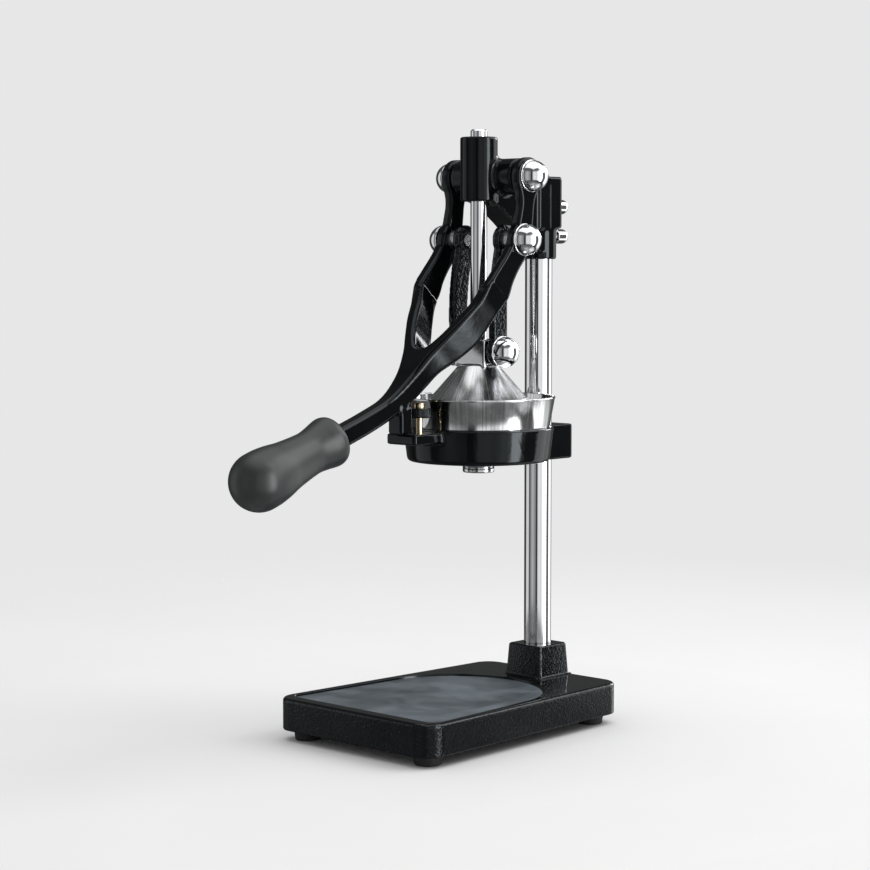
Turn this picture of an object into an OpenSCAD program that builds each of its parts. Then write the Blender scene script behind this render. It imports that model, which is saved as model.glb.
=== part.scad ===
// Lever press for citrus fruit: a cast stand with one column, a cup holder with a
// strainer cup, and a forked hand lever that drives a vertical ram and its cone.
// Frame: X right, Y back, Z up, floor at Z = 0.  All sizes are in millimetres.
// Sizes across Y are measured from the ram's axis, and the finished model is moved
// so that its origin is the middle of its footprint.

/* [Base] */
// Height of the rubber feet
foot_h = 9.4; // [8:0.1:12]
// Largest diameter of a foot
foot_d = 25; // [22:0.5:28]
// Distance from the base's edges to a foot's centre
foot_inset = 21; // [20:0.5:25]
// Height of the base casting
base_h = 28.6; // [27:0.1:33]
// Ram axis to the front edge of the base
base_front = 163.3; // [158:0.1:180]
// Ram axis to the rear edge of the base
base_rear = 104.3; // [103:0.1:115]
// Width of the base along its front edge
base_front_w = 190; // [186:1:210]
// Width of the base along its rear edge
base_rear_w = 164; // [160:1:180]
// Corner radius of the base, seen from above
base_corner_r = 18.5; // [12:0.5:20]
// Chamfer round the top edge of the base
base_chamfer = 3; // [2:0.1:4]
// Thickness of the base's outer wall
base_wall = 7; // [5:0.5:9]
// Thickness of the base's top plate
plate_t = 10; // [8:0.5:12]
// Depth of the recess that holds the mat
recess_depth = 3.5; // [2.5:0.1:4.5]
// Thickness of the mat
mat_t = 1.5; // [1:0.1:2.2]
// Ram axis to the front edge of the recess
recess_front = 150; // [140:0.5:152]
// Width of the recess along its front edge
recess_front_w = 176; // [166:1:178]
// Radius of the recess's round rear end
recess_r = 80; // [60:0.5:82]
// Ram axis to the centre of that round end
recess_centre = 32; // [30:0.5:50]

/* [Column] */
// Diameter of the column bar
column_d = 25; // [22:0.5:28]
// Ram axis to the column's axis
column_y = 81.6; // [81.5:0.1:84]
// Height of the column's top above the floor
column_top = 494; // [488:0.5:500]
// Width of the square socket at its foot
socket_w = 42.3; // [40:0.1:46]
// Width of the square socket at its top
socket_top_w = 39.1; // [37:0.1:40]
// Height of the socket above the base
socket_h = 29.2; // [24:0.1:36]

/* [Cup holder] */
// Height of the holder ring's top above the floor
ring_top_z = 273; // [268:0.5:278]
// Height of the holder ring
ring_h = 31; // [28:0.5:36]
// Radius of the ring at its top
ring_top_r = 67.8; // [66.5:0.1:69]
// Radius of the ring at its foot
ring_foot_r = 63.8; // [62.5:0.1:65]
// Wall of the ring
ring_wall = 4; // [3:0.1:5]
// Width of the ledge that carries the cup
ledge_w = 9.5; // [7:0.1:12]
// Width of the front tongue
tongue_w = 35; // [30:0.5:40]
// Ram axis to the tongue's front face
tongue_reach = 100; // [99:0.5:104]
// Thickness of the tongue
tongue_t = 9.5; // [7:0.1:12]
// Ring top to tongue top
tongue_drop = 2; // [1:0.1:4]
// Width of the clamp block round the column
clamp_w = 46; // [42:0.5:52]
// Height of the clamp block
clamp_h = 32; // [27:0.5:33]
// Column axis to the clamp block's rear face
clamp_rear = 22.4; // [20:0.1:26]

/* [Cup] */
// Radius of the cup's rolled rim
cup_rim_r = 68.8; // [67.5:0.1:68.8]
// Height of the rim above the ring's top
cup_stand = 27; // [24:0.5:30]
// Sheet thickness of the cup and the spout
cup_t = 1.2; // [0.8:0.1:1.6]
// Outer radius of the spout tube
spout_r = 14.2; // [12:0.1:16]
// Length of the spout tube
spout_len = 8; // [6:0.1:12]
// Radius of the reamer at its foot
reamer_r = 30; // [27:0.5:33]
// Height of the reamer above the strainer
reamer_h = 44; // [38:0.5:45]
// Number of ribs on the reamer
reamer_ribs = 12; // [8:1:16]
// Number of slots in the strainer's outer row
strainer_slots = 30; // [20:1:36]

/* [Ram] */
// Diameter of the ram rod
rod_d = 15; // [13:0.5:15.5]
// Height of the rod's top with the lever down
rod_top_z = 536.7; // [532:0.1:550]
// Width of the crosshead block
crosshead_w = 36; // [32:0.5:37]
// Depth of the crosshead block
crosshead_d = 25; // [22:0.5:28]
// Height of the crosshead's top with the lever down
crosshead_top_z = 351; // [349:0.5:354]
// Height of the lower link pin with the lever down
lower_pin_z = 340; // [339:0.1:342]
// Height of the press cone's flat top with the lever down
cone_top_z = 328; // [327:0.1:329]
// Radius of the press cone's flat top
cone_top_r = 17.5; // [16:0.1:19]
// Radius of the press cone's rim
cone_rim_r = 43.8; // [42:0.1:45]
// Height of the press cone
cone_h = 30.5; // [28:0.1:31]
// Sheet thickness of the press cone
cone_t = 1.6; // [1.2:0.1:2]

/* [Links] */
// Thickness of a link
link_t = 8; // [6:0.1:9]
// Gap between the crosshead and a link
link_gap = 2; // [1:0.1:3]
// Radius of a link's upper eye
link_top_r = 13.5; // [12:0.1:14]
// Radius of a link's lower eye
link_foot_r = 13; // [11:0.1:14]
// Width of a link's shank
link_w = 19; // [16:0.1:22]
// Forward bow of a link's shank
link_bow = 4.4; // [2:0.1:6]

/* [Head] */
// Outer diameter of the ram's guide sleeve
sleeve_d = 33.4; // [31:0.1:36]
// Height of the sleeve's foot
sleeve_foot_z = 473; // [471:0.5:476]
// Height of the sleeve's top
sleeve_top_z = 530; // [526:0.5:531]
// Radius of the cross boss that carries the lever
boss_r = 16; // [14:0.1:16.5]
// Width of the head's clamp block
head_w = 32; // [30.5:0.1:36]
// Column axis to the clamp block's front and rear faces
head_half_d = 16; // [15:0.1:17]
// Height of the clamp block's foot
head_block_z = 450; // [446:0.5:454]
// Height of the column collar's foot
head_foot_z = 422; // [418:0.5:432]
// Metal above the column's end
head_cover = 3; // [2:0.1:6]
// Diameter of the domed clamp screws' heads
clamp_screw_head_d = 13.5; // [12:0.1:15]
// Thread diameter of the domed clamp screws
clamp_screw_d = 8; // [6:0.5:10]

/* [Lever] */
// Ram axis to the lever's pivot
pivot_y = 16.5; // [16:0.1:18]
// Height of the lever's pivot
pivot_z = 495; // [493:0.1:496]
// Pivot to the upper link pin, forward
arm_fwd = 8.75; // [7:0.1:10]
// Pivot to the upper link pin, down
arm_down = 56; // [54:0.1:58]
// Space between the lever's two arms
fork_gap = 74; // [72:0.5:80]
// Thickness of each arm
fork_t = 10; // [8:0.1:12]
// Radius of the arm's eye round the pivot
eye_r = 16.5; // [15:0.1:18]
// Radius of the arm's eye round the link pin
mid_eye_r = 13.5; // [12:0.1:14]
// Slope of the lever's bar and grip with the lever down
bar_slope = 19.5; // [17:0.1:22]
// Width of the lever's bar
bar_w = 16; // [14:0.5:18]
// Width of the stop under the bar
stop_w = 17; // [14:0.5:20]
// Length of the stop along the lever
stop_len = 14; // [12:0.5:16]
// Diameter of the pivot axle and the link pins
pin_d = 10; // [8:0.5:11]
// Diameter of the domed pin caps
cap_d = 28.5; // [26:0.1:30]
// Height of the domed pin caps
cap_h = 16; // [14:0.1:17]

/* [Grip] */
// Length of the rubber grip to the centre of its round end
grip_len = 88.8; // [80:0.1:96]
// Radius of the grip's round end
grip_end_r = 25.2; // [23:0.1:26]
// Radius of the grip at its waist
grip_waist_r = 18.8; // [16:0.1:20]
// Radius of the grip's flared mouth
grip_flare_r = 21.9; // [20:0.1:23]
// Radius of the steel tang inside the grip
tang_r = 6; // [5:0.1:7]
// Radius of the ferrule between bar and grip
ferrule_r = 14.6; // [12:0.1:16]
// Thickness of the ferrule
ferrule_t = 3.5; // [2:0.1:5]

/* [Fits] */
// Radial clearance where one piece turns or slides on another
running_fit = 0.05; // [0.02:0.01:0.09]
// Radial clearance of pieces fixed to one another
fixed_fit = 0.03; // [0.02:0.01:0.05]
// Gap between faces that move past each other
side_gap = 0.3; // [0.2:0.05:0.4]

/* [Hidden] */
$fn = 96;

casting = "#16181a";
steel = "#c9ccd0";
polished = "#dfe2e5";
rubber = "#202124";
mat_blue = "#5f6f7a";
bronze = "#a9814a";

eps = 0.01;
over = 1;
through = 100;
arc_steps = 10;
spline_steps = 4;

// Base
base_top = foot_h + base_h;
foot_taper = 1;
foot_screw_d = 5;
foot_head_d = 9;
foot_head_h = 3;
foot_head_sink = 1.2;
foot_screw_grip = 12;
boss_wall = 6;
recess_corner_r = 9;
mat_gap = 0.3;
plate_z = base_top - plate_t;
base_slope = (base_front_w - base_rear_w) / 2 / (base_front + base_rear);
side_sec = sqrt(1 + base_slope * base_slope);
foot_front_y = foot_inset - base_front;
foot_rear_y = base_rear - foot_inset;

// Column and its bolt
column_r = column_d / 2;
column_foot_z = foot_h + 14.6;
column_floor_t = 6;
column_bolt_d = 10;
column_bolt_head_h = 6;
column_bolt_head_r = 9.2;
column_washer_t = 2;
column_washer_r = 12;
column_bolt_grip = 26;
bolt_seat_z = column_foot_z - column_floor_t;
column_boss_r = column_r + 12;

// Cup holder
ring_foot_z = ring_top_z - ring_h;
ring_taper = (ring_top_r - ring_foot_r) / ring_h;
ring_edge_r = 4;
ledge_t = 3;
ledge_z = ring_foot_z + ledge_t;
tongue_top_z = ring_top_z - tongue_drop;
clamp_top_z = ring_top_z - 2;
grub_d = 8;
grub_len = clamp_rear - column_r - 1;
grub_z = clamp_top_z - clamp_h / 2;
hex_key_r = 2.3;
hex_key_depth = 4;

// Cup, spout, strainer and reamer
cup_fit = 0.1;
cup_bead_r = 1.8;
cup_rim_z = ring_top_z + cup_stand;
cup_seat_r = ring_inner(ledge_z) - ledge_w - cup_fit;
cup_foot_z = ledge_z - 5.5;
spout_land = 2;
strainer_z = ring_top_z - 3;
strainer_t = 1.2;
strainer_r = cup_inner(strainer_z) - cup_fit;
strainer_slot_w = 2.6;
strainer_slot_len = 11;
strainer_hub_r = 12;
reamer_z = strainer_z + strainer_t;
reamer_tip_r = 3.5;
reamer_rib_t = 3;
reamer_rib_out = 2.6;
reamer_stem_r = strainer_hub_r - 4;

// Ram
rod_r = rod_d / 2;
rod_foot_z = cone_top_z;
rod_chamfer = 1;
cone_slope = (cone_rim_r - cone_top_r) / cone_h;
cone_rim_z = cone_top_z - cone_h;
cone_bead_r = 1.2;
cone_screw_d = 6;
cone_screw_head_r = 5.5;
cone_screw_head_h = 3;
lobe_foot_z = cone_top_z - 5.2;
cone_screw_top_z = lower_pin_z - pin_d / 2 - 0.8;

// Stack of pieces across the machine, as distances from the middle
pin_r = pin_d / 2;
link_in = crosshead_w / 2 + link_gap;
link_out = link_in + link_t;
fork_in = fork_gap / 2;
fork_out = fork_in + fork_t;
stud_split = (link_out + fork_in) / 2;
stud_collar_r = 9;
cap_sink = 3;
cap_rim_t = 1.2;
cap_step = 0.6;
washer_t = 0.8;
washer_r = 9;
boss_half = fork_in - washer_t - side_gap;

// Head
sleeve_r = sleeve_d / 2;
guide_bush_r = rod_r + 1.5;
guide_bush_len = 20;
guide_relief = 0.3;
cross_bush_r = pin_r + 1.6;
cross_bush_len = 13;
head_top_z = column_top + head_cover;
web_half = 14;
web_drop = 18;
web_top_z = 503;
clamp_screw_upper_z = 470;
clamp_screw_lower_z = 443;
clamp_screw_neck = 15.4;
head_rear_r = 4;
clamp_screw_dome = 6.5;
head_collar_r = head_half_d;

// Lever: points are [back, up] from the pivot
eye = [pivot_y, pivot_z];
upper_pin = eye - [arm_fwd, arm_down];
bar_end = [-197.5, -223.8];
bar_half_d = 9.1;
bar_drop = 1.25;
bar_dir = [-cos(bar_slope), -sin(bar_slope)];
bar_up = [-sin(bar_slope), cos(bar_slope)];
bar_root = bar_end - ferrule_t * bar_dir;
arm_front = [
    [-15.2, -6], [-11.3, -21], [-13.5, -35], [-17.9, -49], [-27.5, -66], [-40.5, -81],
    [-53, -95], [-56.5, -102], [-62.5, -112], [-73.5, -125], [-96.5, -153.5],
    [-113.5, -174], [-134.7, -191.5], [-162.2, -203.2]
];
arm_back = [
    [-155.6, -219.8], [-128.5, -208], [-108.5, -196], [-94.5, -184], [-83.5, -173],
    [-68.5, -162], [-54.5, -148], [-45.5, -133], [-37.5, -119], [-27.5, -107],
    [-21.5, -94], [-13.5, -82], [-3.5, -70], [2.5, -55], [4.5, -39], [7, -21], [15.2, -6]
];
// The fork's outline across X, along a line that slopes down with the arms
plan_slope = 48;
plan_start = [-54.5, -100.5];
plan_len = 260;
fork_blend = 0.5 * fork_t;
fork_outer = [
    [fork_out, -200], [fork_out, -20], [fork_out - 0.6, -6], [fork_out - 3, 3],
    [fork_out - 7.5, 12], [fork_out - 12.5, 31], [fork_out - 21, 50], [17.4, 68],
    [11.7, 92], [bar_w / 2 + 0.3, 122], [bar_w / 2, 150], [bar_w / 2, plan_len]
];
fork_inner = [
    [fork_in, -200], [fork_in, -20], [fork_in - 1, -6], [fork_in - 6, 8],
    [fork_in - 11.5, 25], [fork_in - 18.5, 42], [11, 54], [6, 60], [0, 62.2]
];
stop_y = -100;
stop_up = 24;
tang_len = 78;

// Links
link_top = upper_pin;
link_foot = [0, lower_pin_z];
link_vec = link_top - link_foot;
link_len = norm(link_vec);
link_dir = link_vec / link_len;
link_side = [link_dir[1], -link_dir[0]];

// Grip
grip_mouth_r = 12.5;
grip_tip_y = eye[0] + bar_end[0] - grip_len * cos(bar_slope) - grip_end_r;
rear_y = column_y + head_half_d + clamp_screw_neck + clamp_screw_dome;
middle_y = (grip_tip_y + rear_y) / 2;

// ---------------------------------------------------------------- functions

// Half width of the base at a distance y behind the ram, drawn in by e
function base_half(y, e) = base_rear_w / 2 + base_slope * (base_rear - y) - e * side_sec;

// Arc that rounds the corner p between points a and b of an outline
function corner_arc(a, p, b, r) =
    let (u = (p - a) / norm(p - a), v = (b - p) / norm(b - p),
         turn = atan2(u[0] * v[1] - u[1] * v[0], u * v),
         n = [u[1], -u[0]],
         c = p - u * r * tan(turn / 2) - n * r,
         start = atan2(n[1], n[0]))
    [for (i = [0 : arc_steps]) c + r * [cos(start + turn * i / arc_steps), sin(start + turn * i / arc_steps)]];

// Outline with each of its corners rounded to radius r
function rounded(points, r) =
    let (n = len(points))
    [for (i = [0 : n - 1]) each corner_arc(points[(i + n - 1) % n], points[i], points[(i + 1) % n], r)];

function base_outline(e) =
    let (front = e - base_front, rear = base_rear - e)
    rounded([
        [-base_half(front, e), front], [base_half(front, e), front],
        [base_half(rear, e), rear], [-base_half(rear, e), rear]
    ], base_corner_r - e);

// D-shaped outline of the mat's recess, drawn in by e
function recess_outline(e) =
    let (front = [recess_front_w / 2 - e, e - recess_front], r = recess_r - e,
         left = [-front[0], front[1]], side = [r, -recess_centre], r_corner = recess_corner_r - e)
    concat(
        corner_arc([-side[0], side[1]], left, front, r_corner),
        corner_arc(left, front, side, r_corner),
        [for (a = [0 : 6 : 180]) [r * cos(a), r * sin(a) - recess_centre]]
    );

// Smooth curve through every point of p
function spline(p) =
    let (n = len(p), q = concat([2 * p[0] - p[1]], p, [2 * p[n - 1] - p[n - 2]]))
    concat([for (i = [1 : n - 1], k = [0 : spline_steps - 1]) let (t = k / spline_steps)
        0.5 * (2 * q[i] + (q[i + 1] - q[i - 1]) * t
            + (2 * q[i - 1] - 5 * q[i] + 4 * q[i + 1] - q[i + 2]) * t * t
            + (3 * q[i] - q[i - 1] - 3 * q[i + 1] + q[i + 2]) * t * t * t)], [p[n - 1]]);

// Inside radius of the holder ring and of the cup at height z
function ring_inner(z) = ring_top_r - ring_wall - (ring_top_z - z) * ring_taper;
function cup_inner(z) = ring_inner(z) - cup_fit - cup_t;

// Outer radius of the press cone at height z
function cone_outer(z) = cone_top_r + (cone_top_z - z) * cone_slope;

// ---------------------------------------------------------------- helpers

// Moves the model so that its origin is the middle of its footprint
module placed() {
    translate([0, -middle_y, 0]) children();
}

// The same piece on the right and on the left
module both_sides() {
    children();
    mirror([1, 0, 0]) children();
}

// Round bar along X from x0 to x1 through the point at [y, z]
module bar_x(at, r, x0, x1) {
    translate([x0, at[0], at[1]]) rotate([0, 90, 0]) cylinder(r = r, h = x1 - x0);
}

// Side outline in [y, z], extruded along X from x0 to x1
module side_plate(points, x0, x1) {
    translate([x0, 0, 0]) rotate([90, 0, 90]) linear_extrude(height = x1 - x0) polygon(points);
}

// Places a piece along the lever's bar, at a distance past the bar's end
module on_bar(distance) {
    translate([0, eye[0] + bar_end[0], eye[1] + bar_end[1]])
        rotate([90 + bar_slope, 0, 0]) translate([0, 0, distance]) children();
}

// Domed cap whose flat back lies at x, pressed on a pin of radius r
module dome_cap(at, x, r) {
    foot = cap_d / 2 - cap_step;
    rise = cap_h - cap_rim_t;
    ball = (foot * foot + rise * rise) / (2 * rise);
    translate([x, at[0], at[1]]) rotate([0, 90, 0]) difference() {
        union() {
            cylinder(r = cap_d / 2, h = cap_rim_t);
            intersection() {
                translate([0, 0, cap_h - ball]) sphere(r = ball);
                cylinder(r = foot + 1, h = cap_h);
                translate([0, 0, cap_rim_t - eps]) cylinder(r = cap_d, h = cap_h);
            }
        }
        translate([0, 0, -over]) cylinder(r = r + fixed_fit, h = cap_sink + 1 + fixed_fit);
    }
}

// Calls its children once at each foot
module at_feet() {
    for (side = [-1, 1], y = [foot_front_y, foot_rear_y])
        translate([side * (base_half(y, 0) - foot_inset), y, 0]) children();
}

// ---------------------------------------------------------------- stand

module base_shell() {
    hull() {
        translate([0, 0, foot_h]) linear_extrude(height = base_h - base_chamfer) polygon(base_outline(0));
        translate([0, 0, base_top - 1]) linear_extrude(height = 1) polygon(base_outline(base_chamfer));
    }
}

// Square tapered socket, as the overlap of two extruded side outlines
module socket() {
    low = base_top - 1;
    high = base_top + socket_h;
    outline = [[-socket_w / 2, low], [socket_w / 2, low], [socket_top_w / 2, high], [-socket_top_w / 2, high]];
    translate([0, column_y, 0]) intersection() {
        side_plate(outline, -socket_w / 2, socket_w / 2);
        rotate([0, 0, 90]) side_plate(outline, -socket_w / 2, socket_w / 2);
    }
}

module base_cavity() {
    difference() {
        translate([0, 0, foot_h - 1]) linear_extrude(height = plate_z - foot_h + 1) polygon(base_outline(base_wall));
        at_feet() cylinder(r = foot_inset - base_wall + 1, h = base_top);
        translate([0, column_y, bolt_seat_z]) cylinder(r = column_boss_r, h = base_h);
    }
}

module base() {
    color(casting) placed() difference() {
        union() {
            difference() {
                base_shell();
                base_cavity();
                translate([0, 0, base_top - recess_depth]) linear_extrude(height = base_h) polygon(recess_outline(0));
            }
            socket();
        }
        translate([0, column_y, column_foot_z]) cylinder(r = column_r + fixed_fit, h = base_h + socket_h);
        translate([0, column_y, foot_h - 1]) cylinder(r = column_bolt_d / 2 + 0.3, h = base_h);
        translate([0, column_y, foot_h - 1])
            cylinder(r = column_washer_r + 1, h = bolt_seat_z - foot_h + 1);
        at_feet() translate([0, 0, foot_h - 1])
            cylinder(r = foot_screw_d / 2 + fixed_fit, h = foot_screw_grip + 2);
    }
}

module base_mat() {
    color(mat_blue) placed() translate([0, 0, base_top - recess_depth])
        linear_extrude(height = mat_t) polygon(recess_outline(mat_gap));
}

module feet() {
    color(rubber) placed() at_feet() difference() {
        cylinder(r1 = foot_d / 2 - foot_taper, r2 = foot_d / 2, h = foot_h);
        translate([0, 0, -over]) cylinder(r = foot_screw_d / 2 + 0.2, h = foot_h + 2);
        translate([0, 0, -over]) cylinder(r = foot_head_d / 2 + 0.4, h = foot_head_h + foot_head_sink + 1);
    }
}

module foot_screws() {
    color(steel) placed() at_feet() translate([0, 0, foot_head_sink]) difference() {
        union() {
            cylinder(r = foot_head_d / 2, h = foot_head_h);
            cylinder(r = foot_screw_d / 2, h = foot_h - foot_head_sink + foot_screw_grip);
        }
        translate([0, 0, -over]) cylinder(r = 1.5, h = 3, $fn = 6);
    }
}

module column() {
    color(polished) placed() translate([0, column_y, column_foot_z]) difference() {
        cylinder(r = column_r, h = column_top - column_foot_z);
        translate([0, 0, -over]) cylinder(r = column_bolt_d / 2 + fixed_fit, h = column_bolt_grip + 3);
    }
}

module column_bolt() {
    head_z = bolt_seat_z - column_washer_t - column_bolt_head_h;
    color(steel) placed() translate([0, column_y, head_z]) {
        cylinder(r = column_bolt_head_r, h = column_bolt_head_h, $fn = 6);
        cylinder(r = column_bolt_d / 2, h = column_foot_z - head_z + column_bolt_grip);
    }
}

module column_washer() {
    color(steel) placed() translate([0, column_y, bolt_seat_z - column_washer_t]) difference() {
        cylinder(r = column_washer_r, h = column_washer_t);
        translate([0, 0, -over]) cylinder(r = column_bolt_d / 2 + 0.3, h = column_washer_t + 2);
    }
}

// ---------------------------------------------------------------- cup holder

// Space inside the ring, above the ledge
module ring_space() {
    translate([0, 0, ledge_z])
        cylinder(r1 = ring_inner(ledge_z), r2 = ring_inner(ledge_z + through), h = through);
}

module ring_body() {
    side = [ring_foot_r + ring_edge_r * ring_taper, ring_foot_z + ring_edge_r];
    rotate_extrude() polygon(concat(
        [[ring_inner(ledge_z) - ledge_w, ring_foot_z]],
        [for (a = [-90 : 15 : 0]) side + ring_edge_r * [cos(a) - 1, sin(a)]],
        [[ring_top_r, ring_top_z], [ring_inner(ledge_z) - ledge_w, ring_top_z]]
    ));
}

module cup_holder() {
    clamp_front = ring_inner(ledge_z) - 6;
    color(casting) placed() difference() {
        union() {
            ring_body();
            translate([-clamp_w / 2, clamp_front, clamp_top_z - clamp_h])
                cube([clamp_w, column_y + clamp_rear - clamp_front, clamp_h]);
            translate([-tongue_w / 2, -tongue_reach, tongue_top_z - tongue_t])
                cube([tongue_w, tongue_reach - ring_inner(ledge_z) + 3, tongue_t]);
        }
        ring_space();
        translate([0, 0, ring_foot_z - 5]) cylinder(r = ring_inner(ledge_z) - ledge_w, h = ring_h);
        translate([0, column_y, 0]) cylinder(r = column_r + fixed_fit, h = column_top);
        translate([0, column_y, grub_z]) rotate([-90, 0, 0])
            cylinder(r = grub_d / 2 + fixed_fit, h = clamp_rear + 5);
    }
}

module holder_grub_screw() {
    color(steel) placed() translate([0, column_y + column_r + 0.2, grub_z]) rotate([-90, 0, 0]) difference() {
        cylinder(r = grub_d / 2, h = grub_len);
        translate([0, 0, grub_len - hex_key_depth]) cylinder(r = hex_key_r, h = hex_key_depth + 1, $fn = 6);
    }
}

// ---------------------------------------------------------------- cup

module juice_cup() {
    bead = [cup_rim_r - cup_bead_r, cup_rim_z - cup_bead_r];
    outer = ring_inner(ledge_z) - cup_fit;
    edge = 2;
    color(polished) placed() rotate_extrude() polygon(concat(
        [for (a = [-110 : 14.5 : 180]) bead + cup_bead_r * [cos(a), sin(a)]],
        [[cup_inner(ring_top_z), ring_top_z], [outer - cup_t, ledge_z + edge + cup_t],
         [outer - edge, ledge_z + cup_t], [cup_seat_r, ledge_z + cup_t],
         [spout_r + spout_land, cup_foot_z + cup_t], [spout_r - cup_t, cup_foot_z + cup_t],
         [spout_r - cup_t, cup_foot_z], [spout_r + spout_land, cup_foot_z],
         [cup_seat_r, ledge_z], [outer - edge, ledge_z], [outer, ledge_z + edge],
         [ring_inner(ring_top_z) - cup_fit, ring_top_z]]
    ));
}

module spout() {
    color(polished) placed() rotate_extrude() polygon([
        [spout_r - cup_t, cup_foot_z - spout_len], [spout_r - 0.4, cup_foot_z - spout_len],
        [spout_r, cup_foot_z - spout_len + 0.6], [spout_r, cup_foot_z], [spout_r - cup_t, cup_foot_z]
    ]);
}

module strainer() {
    inner_slots = round(strainer_slots * 0.6);
    outer_r = strainer_r - strainer_slot_len - 5;
    inner_r = outer_r - strainer_slot_len - 5;
    color(steel) placed() difference() {
        translate([0, 0, strainer_z]) cylinder(r = strainer_r, h = strainer_t);
        translate([0, 0, strainer_z - 1]) cylinder(r = strainer_hub_r / 2, h = strainer_t + 2);
        for (i = [0 : strainer_slots - 1]) rotate([0, 0, 360 * i / strainer_slots])
            translate([outer_r, -strainer_slot_w / 2, strainer_z - 1])
                cube([strainer_slot_len, strainer_slot_w, strainer_t + 2]);
        for (i = [0 : inner_slots - 1]) rotate([0, 0, 360 * (i + 0.5) / inner_slots])
            translate([inner_r, -strainer_slot_w / 2, strainer_z - 1])
                cube([strainer_slot_len, strainer_slot_w, strainer_t + 2]);
    }
}

module reamer_cone(grow) {
    translate([0, 0, reamer_z]) rotate_extrude() polygon([
        [0, 0], [reamer_r, 0], [reamer_r - 3 + grow, 5], [reamer_tip_r + 5 + grow, reamer_h - 10],
        [reamer_tip_r + grow / 2, reamer_h - 2], [0, reamer_h]
    ]);
}

module reamer() {
    color(steel) placed() {
        reamer_cone(0);
        intersection() {
            reamer_cone(reamer_rib_out);
            for (i = [0 : reamer_ribs - 1]) rotate([0, 0, 360 * i / reamer_ribs])
                translate([0, -reamer_rib_t / 2, reamer_z]) cube([reamer_r + 1, reamer_rib_t, reamer_h + 1]);
        }
        translate([0, 0, strainer_z - 6]) cylinder(r = strainer_hub_r / 2 - 0.1, h = 8);
    }
}

// ---------------------------------------------------------------- head

module head_web() {
    side_plate([
        [0, sleeve_foot_z], [sleeve_r - 4, sleeve_foot_z - 4.3], [pivot_y + boss_r, sleeve_foot_z - web_drop],
        [column_y - head_half_d, head_foot_z + 8], [column_y, head_foot_z + 8],
        [column_y, head_top_z], [pivot_y + boss_r, web_top_z], [0, web_top_z]
    ], -web_half, web_half);
}

module head_clamp() {
    front = [head_w / 2, column_y - head_half_d];
    rear = [head_w / 2, column_y + head_half_d];
    left_front = [-front[0], front[1]];
    left_rear = [-rear[0], rear[1]];
    translate([0, 0, head_block_z]) linear_extrude(height = head_top_z - head_block_z)
        polygon(concat([left_front, front], corner_arc(front, rear, left_rear, head_rear_r),
            corner_arc(rear, left_rear, left_front, head_rear_r)));
    translate([0, column_y, head_foot_z]) cylinder(r = head_collar_r, h = head_block_z - head_foot_z + 1);
    translate([-head_w / 4, column_y, head_foot_z])
        cube([head_w / 2, head_half_d, head_top_z - head_foot_z]);
}

module clamp_screw_axis(z) {
    translate([0, column_y, z]) rotate([-90, 0, 0]) children();
}

module head() {
    color(casting) placed() difference() {
        union() {
            translate([0, 0, sleeve_foot_z]) cylinder(r = sleeve_r, h = sleeve_top_z - sleeve_foot_z);
            bar_x(eye, boss_r, -boss_half, boss_half);
            head_web();
            head_clamp();
        }
        translate([0, 0, sleeve_foot_z - web_drop]) cylinder(r = rod_r + guide_relief, h = through);
        translate([0, 0, sleeve_foot_z - web_drop]) cylinder(r = guide_bush_r + fixed_fit, h = guide_bush_len + web_drop);
        translate([0, 0, sleeve_top_z - guide_bush_len])
            cylinder(r = guide_bush_r + fixed_fit, h = guide_bush_len + 1);
        bar_x(eye, pin_r + guide_relief, -boss_half - 1, boss_half + 1);
        both_sides() bar_x(eye, cross_bush_r + fixed_fit, boss_half - cross_bush_len, boss_half + 1);
        translate([0, column_y, head_foot_z - 1])
            cylinder(r = column_r + fixed_fit, h = column_top - head_foot_z + 1);
        for (z = [clamp_screw_upper_z, clamp_screw_lower_z])
            clamp_screw_axis(z) cylinder(r = clamp_screw_d / 2 + fixed_fit, h = head_half_d + 5);
    }
}

module guide_bushes() {
    color(bronze) placed() for (z = [sleeve_foot_z, sleeve_top_z - guide_bush_len])
        translate([0, 0, z]) difference() {
            cylinder(r = guide_bush_r, h = guide_bush_len);
            translate([0, 0, -over]) cylinder(r = rod_r + running_fit, h = guide_bush_len + 2);
        }
}

module cross_bushes() {
    color(bronze) placed() both_sides() difference() {
        bar_x(eye, cross_bush_r, boss_half - cross_bush_len, boss_half);
        bar_x(eye, pin_r + running_fit, 0, fork_out);
    }
}

module head_clamp_screws() {
    head_r = clamp_screw_head_d / 2;
    head_foot = head_half_d + 5;
    head_end = head_half_d + clamp_screw_neck;
    ball = (head_r * head_r + clamp_screw_dome * clamp_screw_dome) / (2 * clamp_screw_dome);
    color(polished) placed() for (z = [clamp_screw_upper_z, clamp_screw_lower_z]) clamp_screw_axis(z) {
        translate([0, 0, column_r + 0.1]) cylinder(r = clamp_screw_d / 2, h = head_end - column_r - 1);
        translate([0, 0, head_foot]) cylinder(r = head_r, h = head_end - head_foot);
        intersection() {
            translate([0, 0, head_end + clamp_screw_dome - ball]) sphere(r = ball);
            translate([0, 0, head_end - 1]) cylinder(r = head_r, h = clamp_screw_dome + 2);
        }
    }
}

// ---------------------------------------------------------------- lever

// Side outline of the fork and its bar, as the lever is seen from the right
function fork_side() =
    [for (p = concat(
        spline(concat(arm_front, [bar_root + (bar_half_d - bar_drop) * bar_up])),
        spline(concat([bar_root - (bar_half_d + bar_drop) * bar_up], arm_back))
    )) eye + p];

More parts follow.
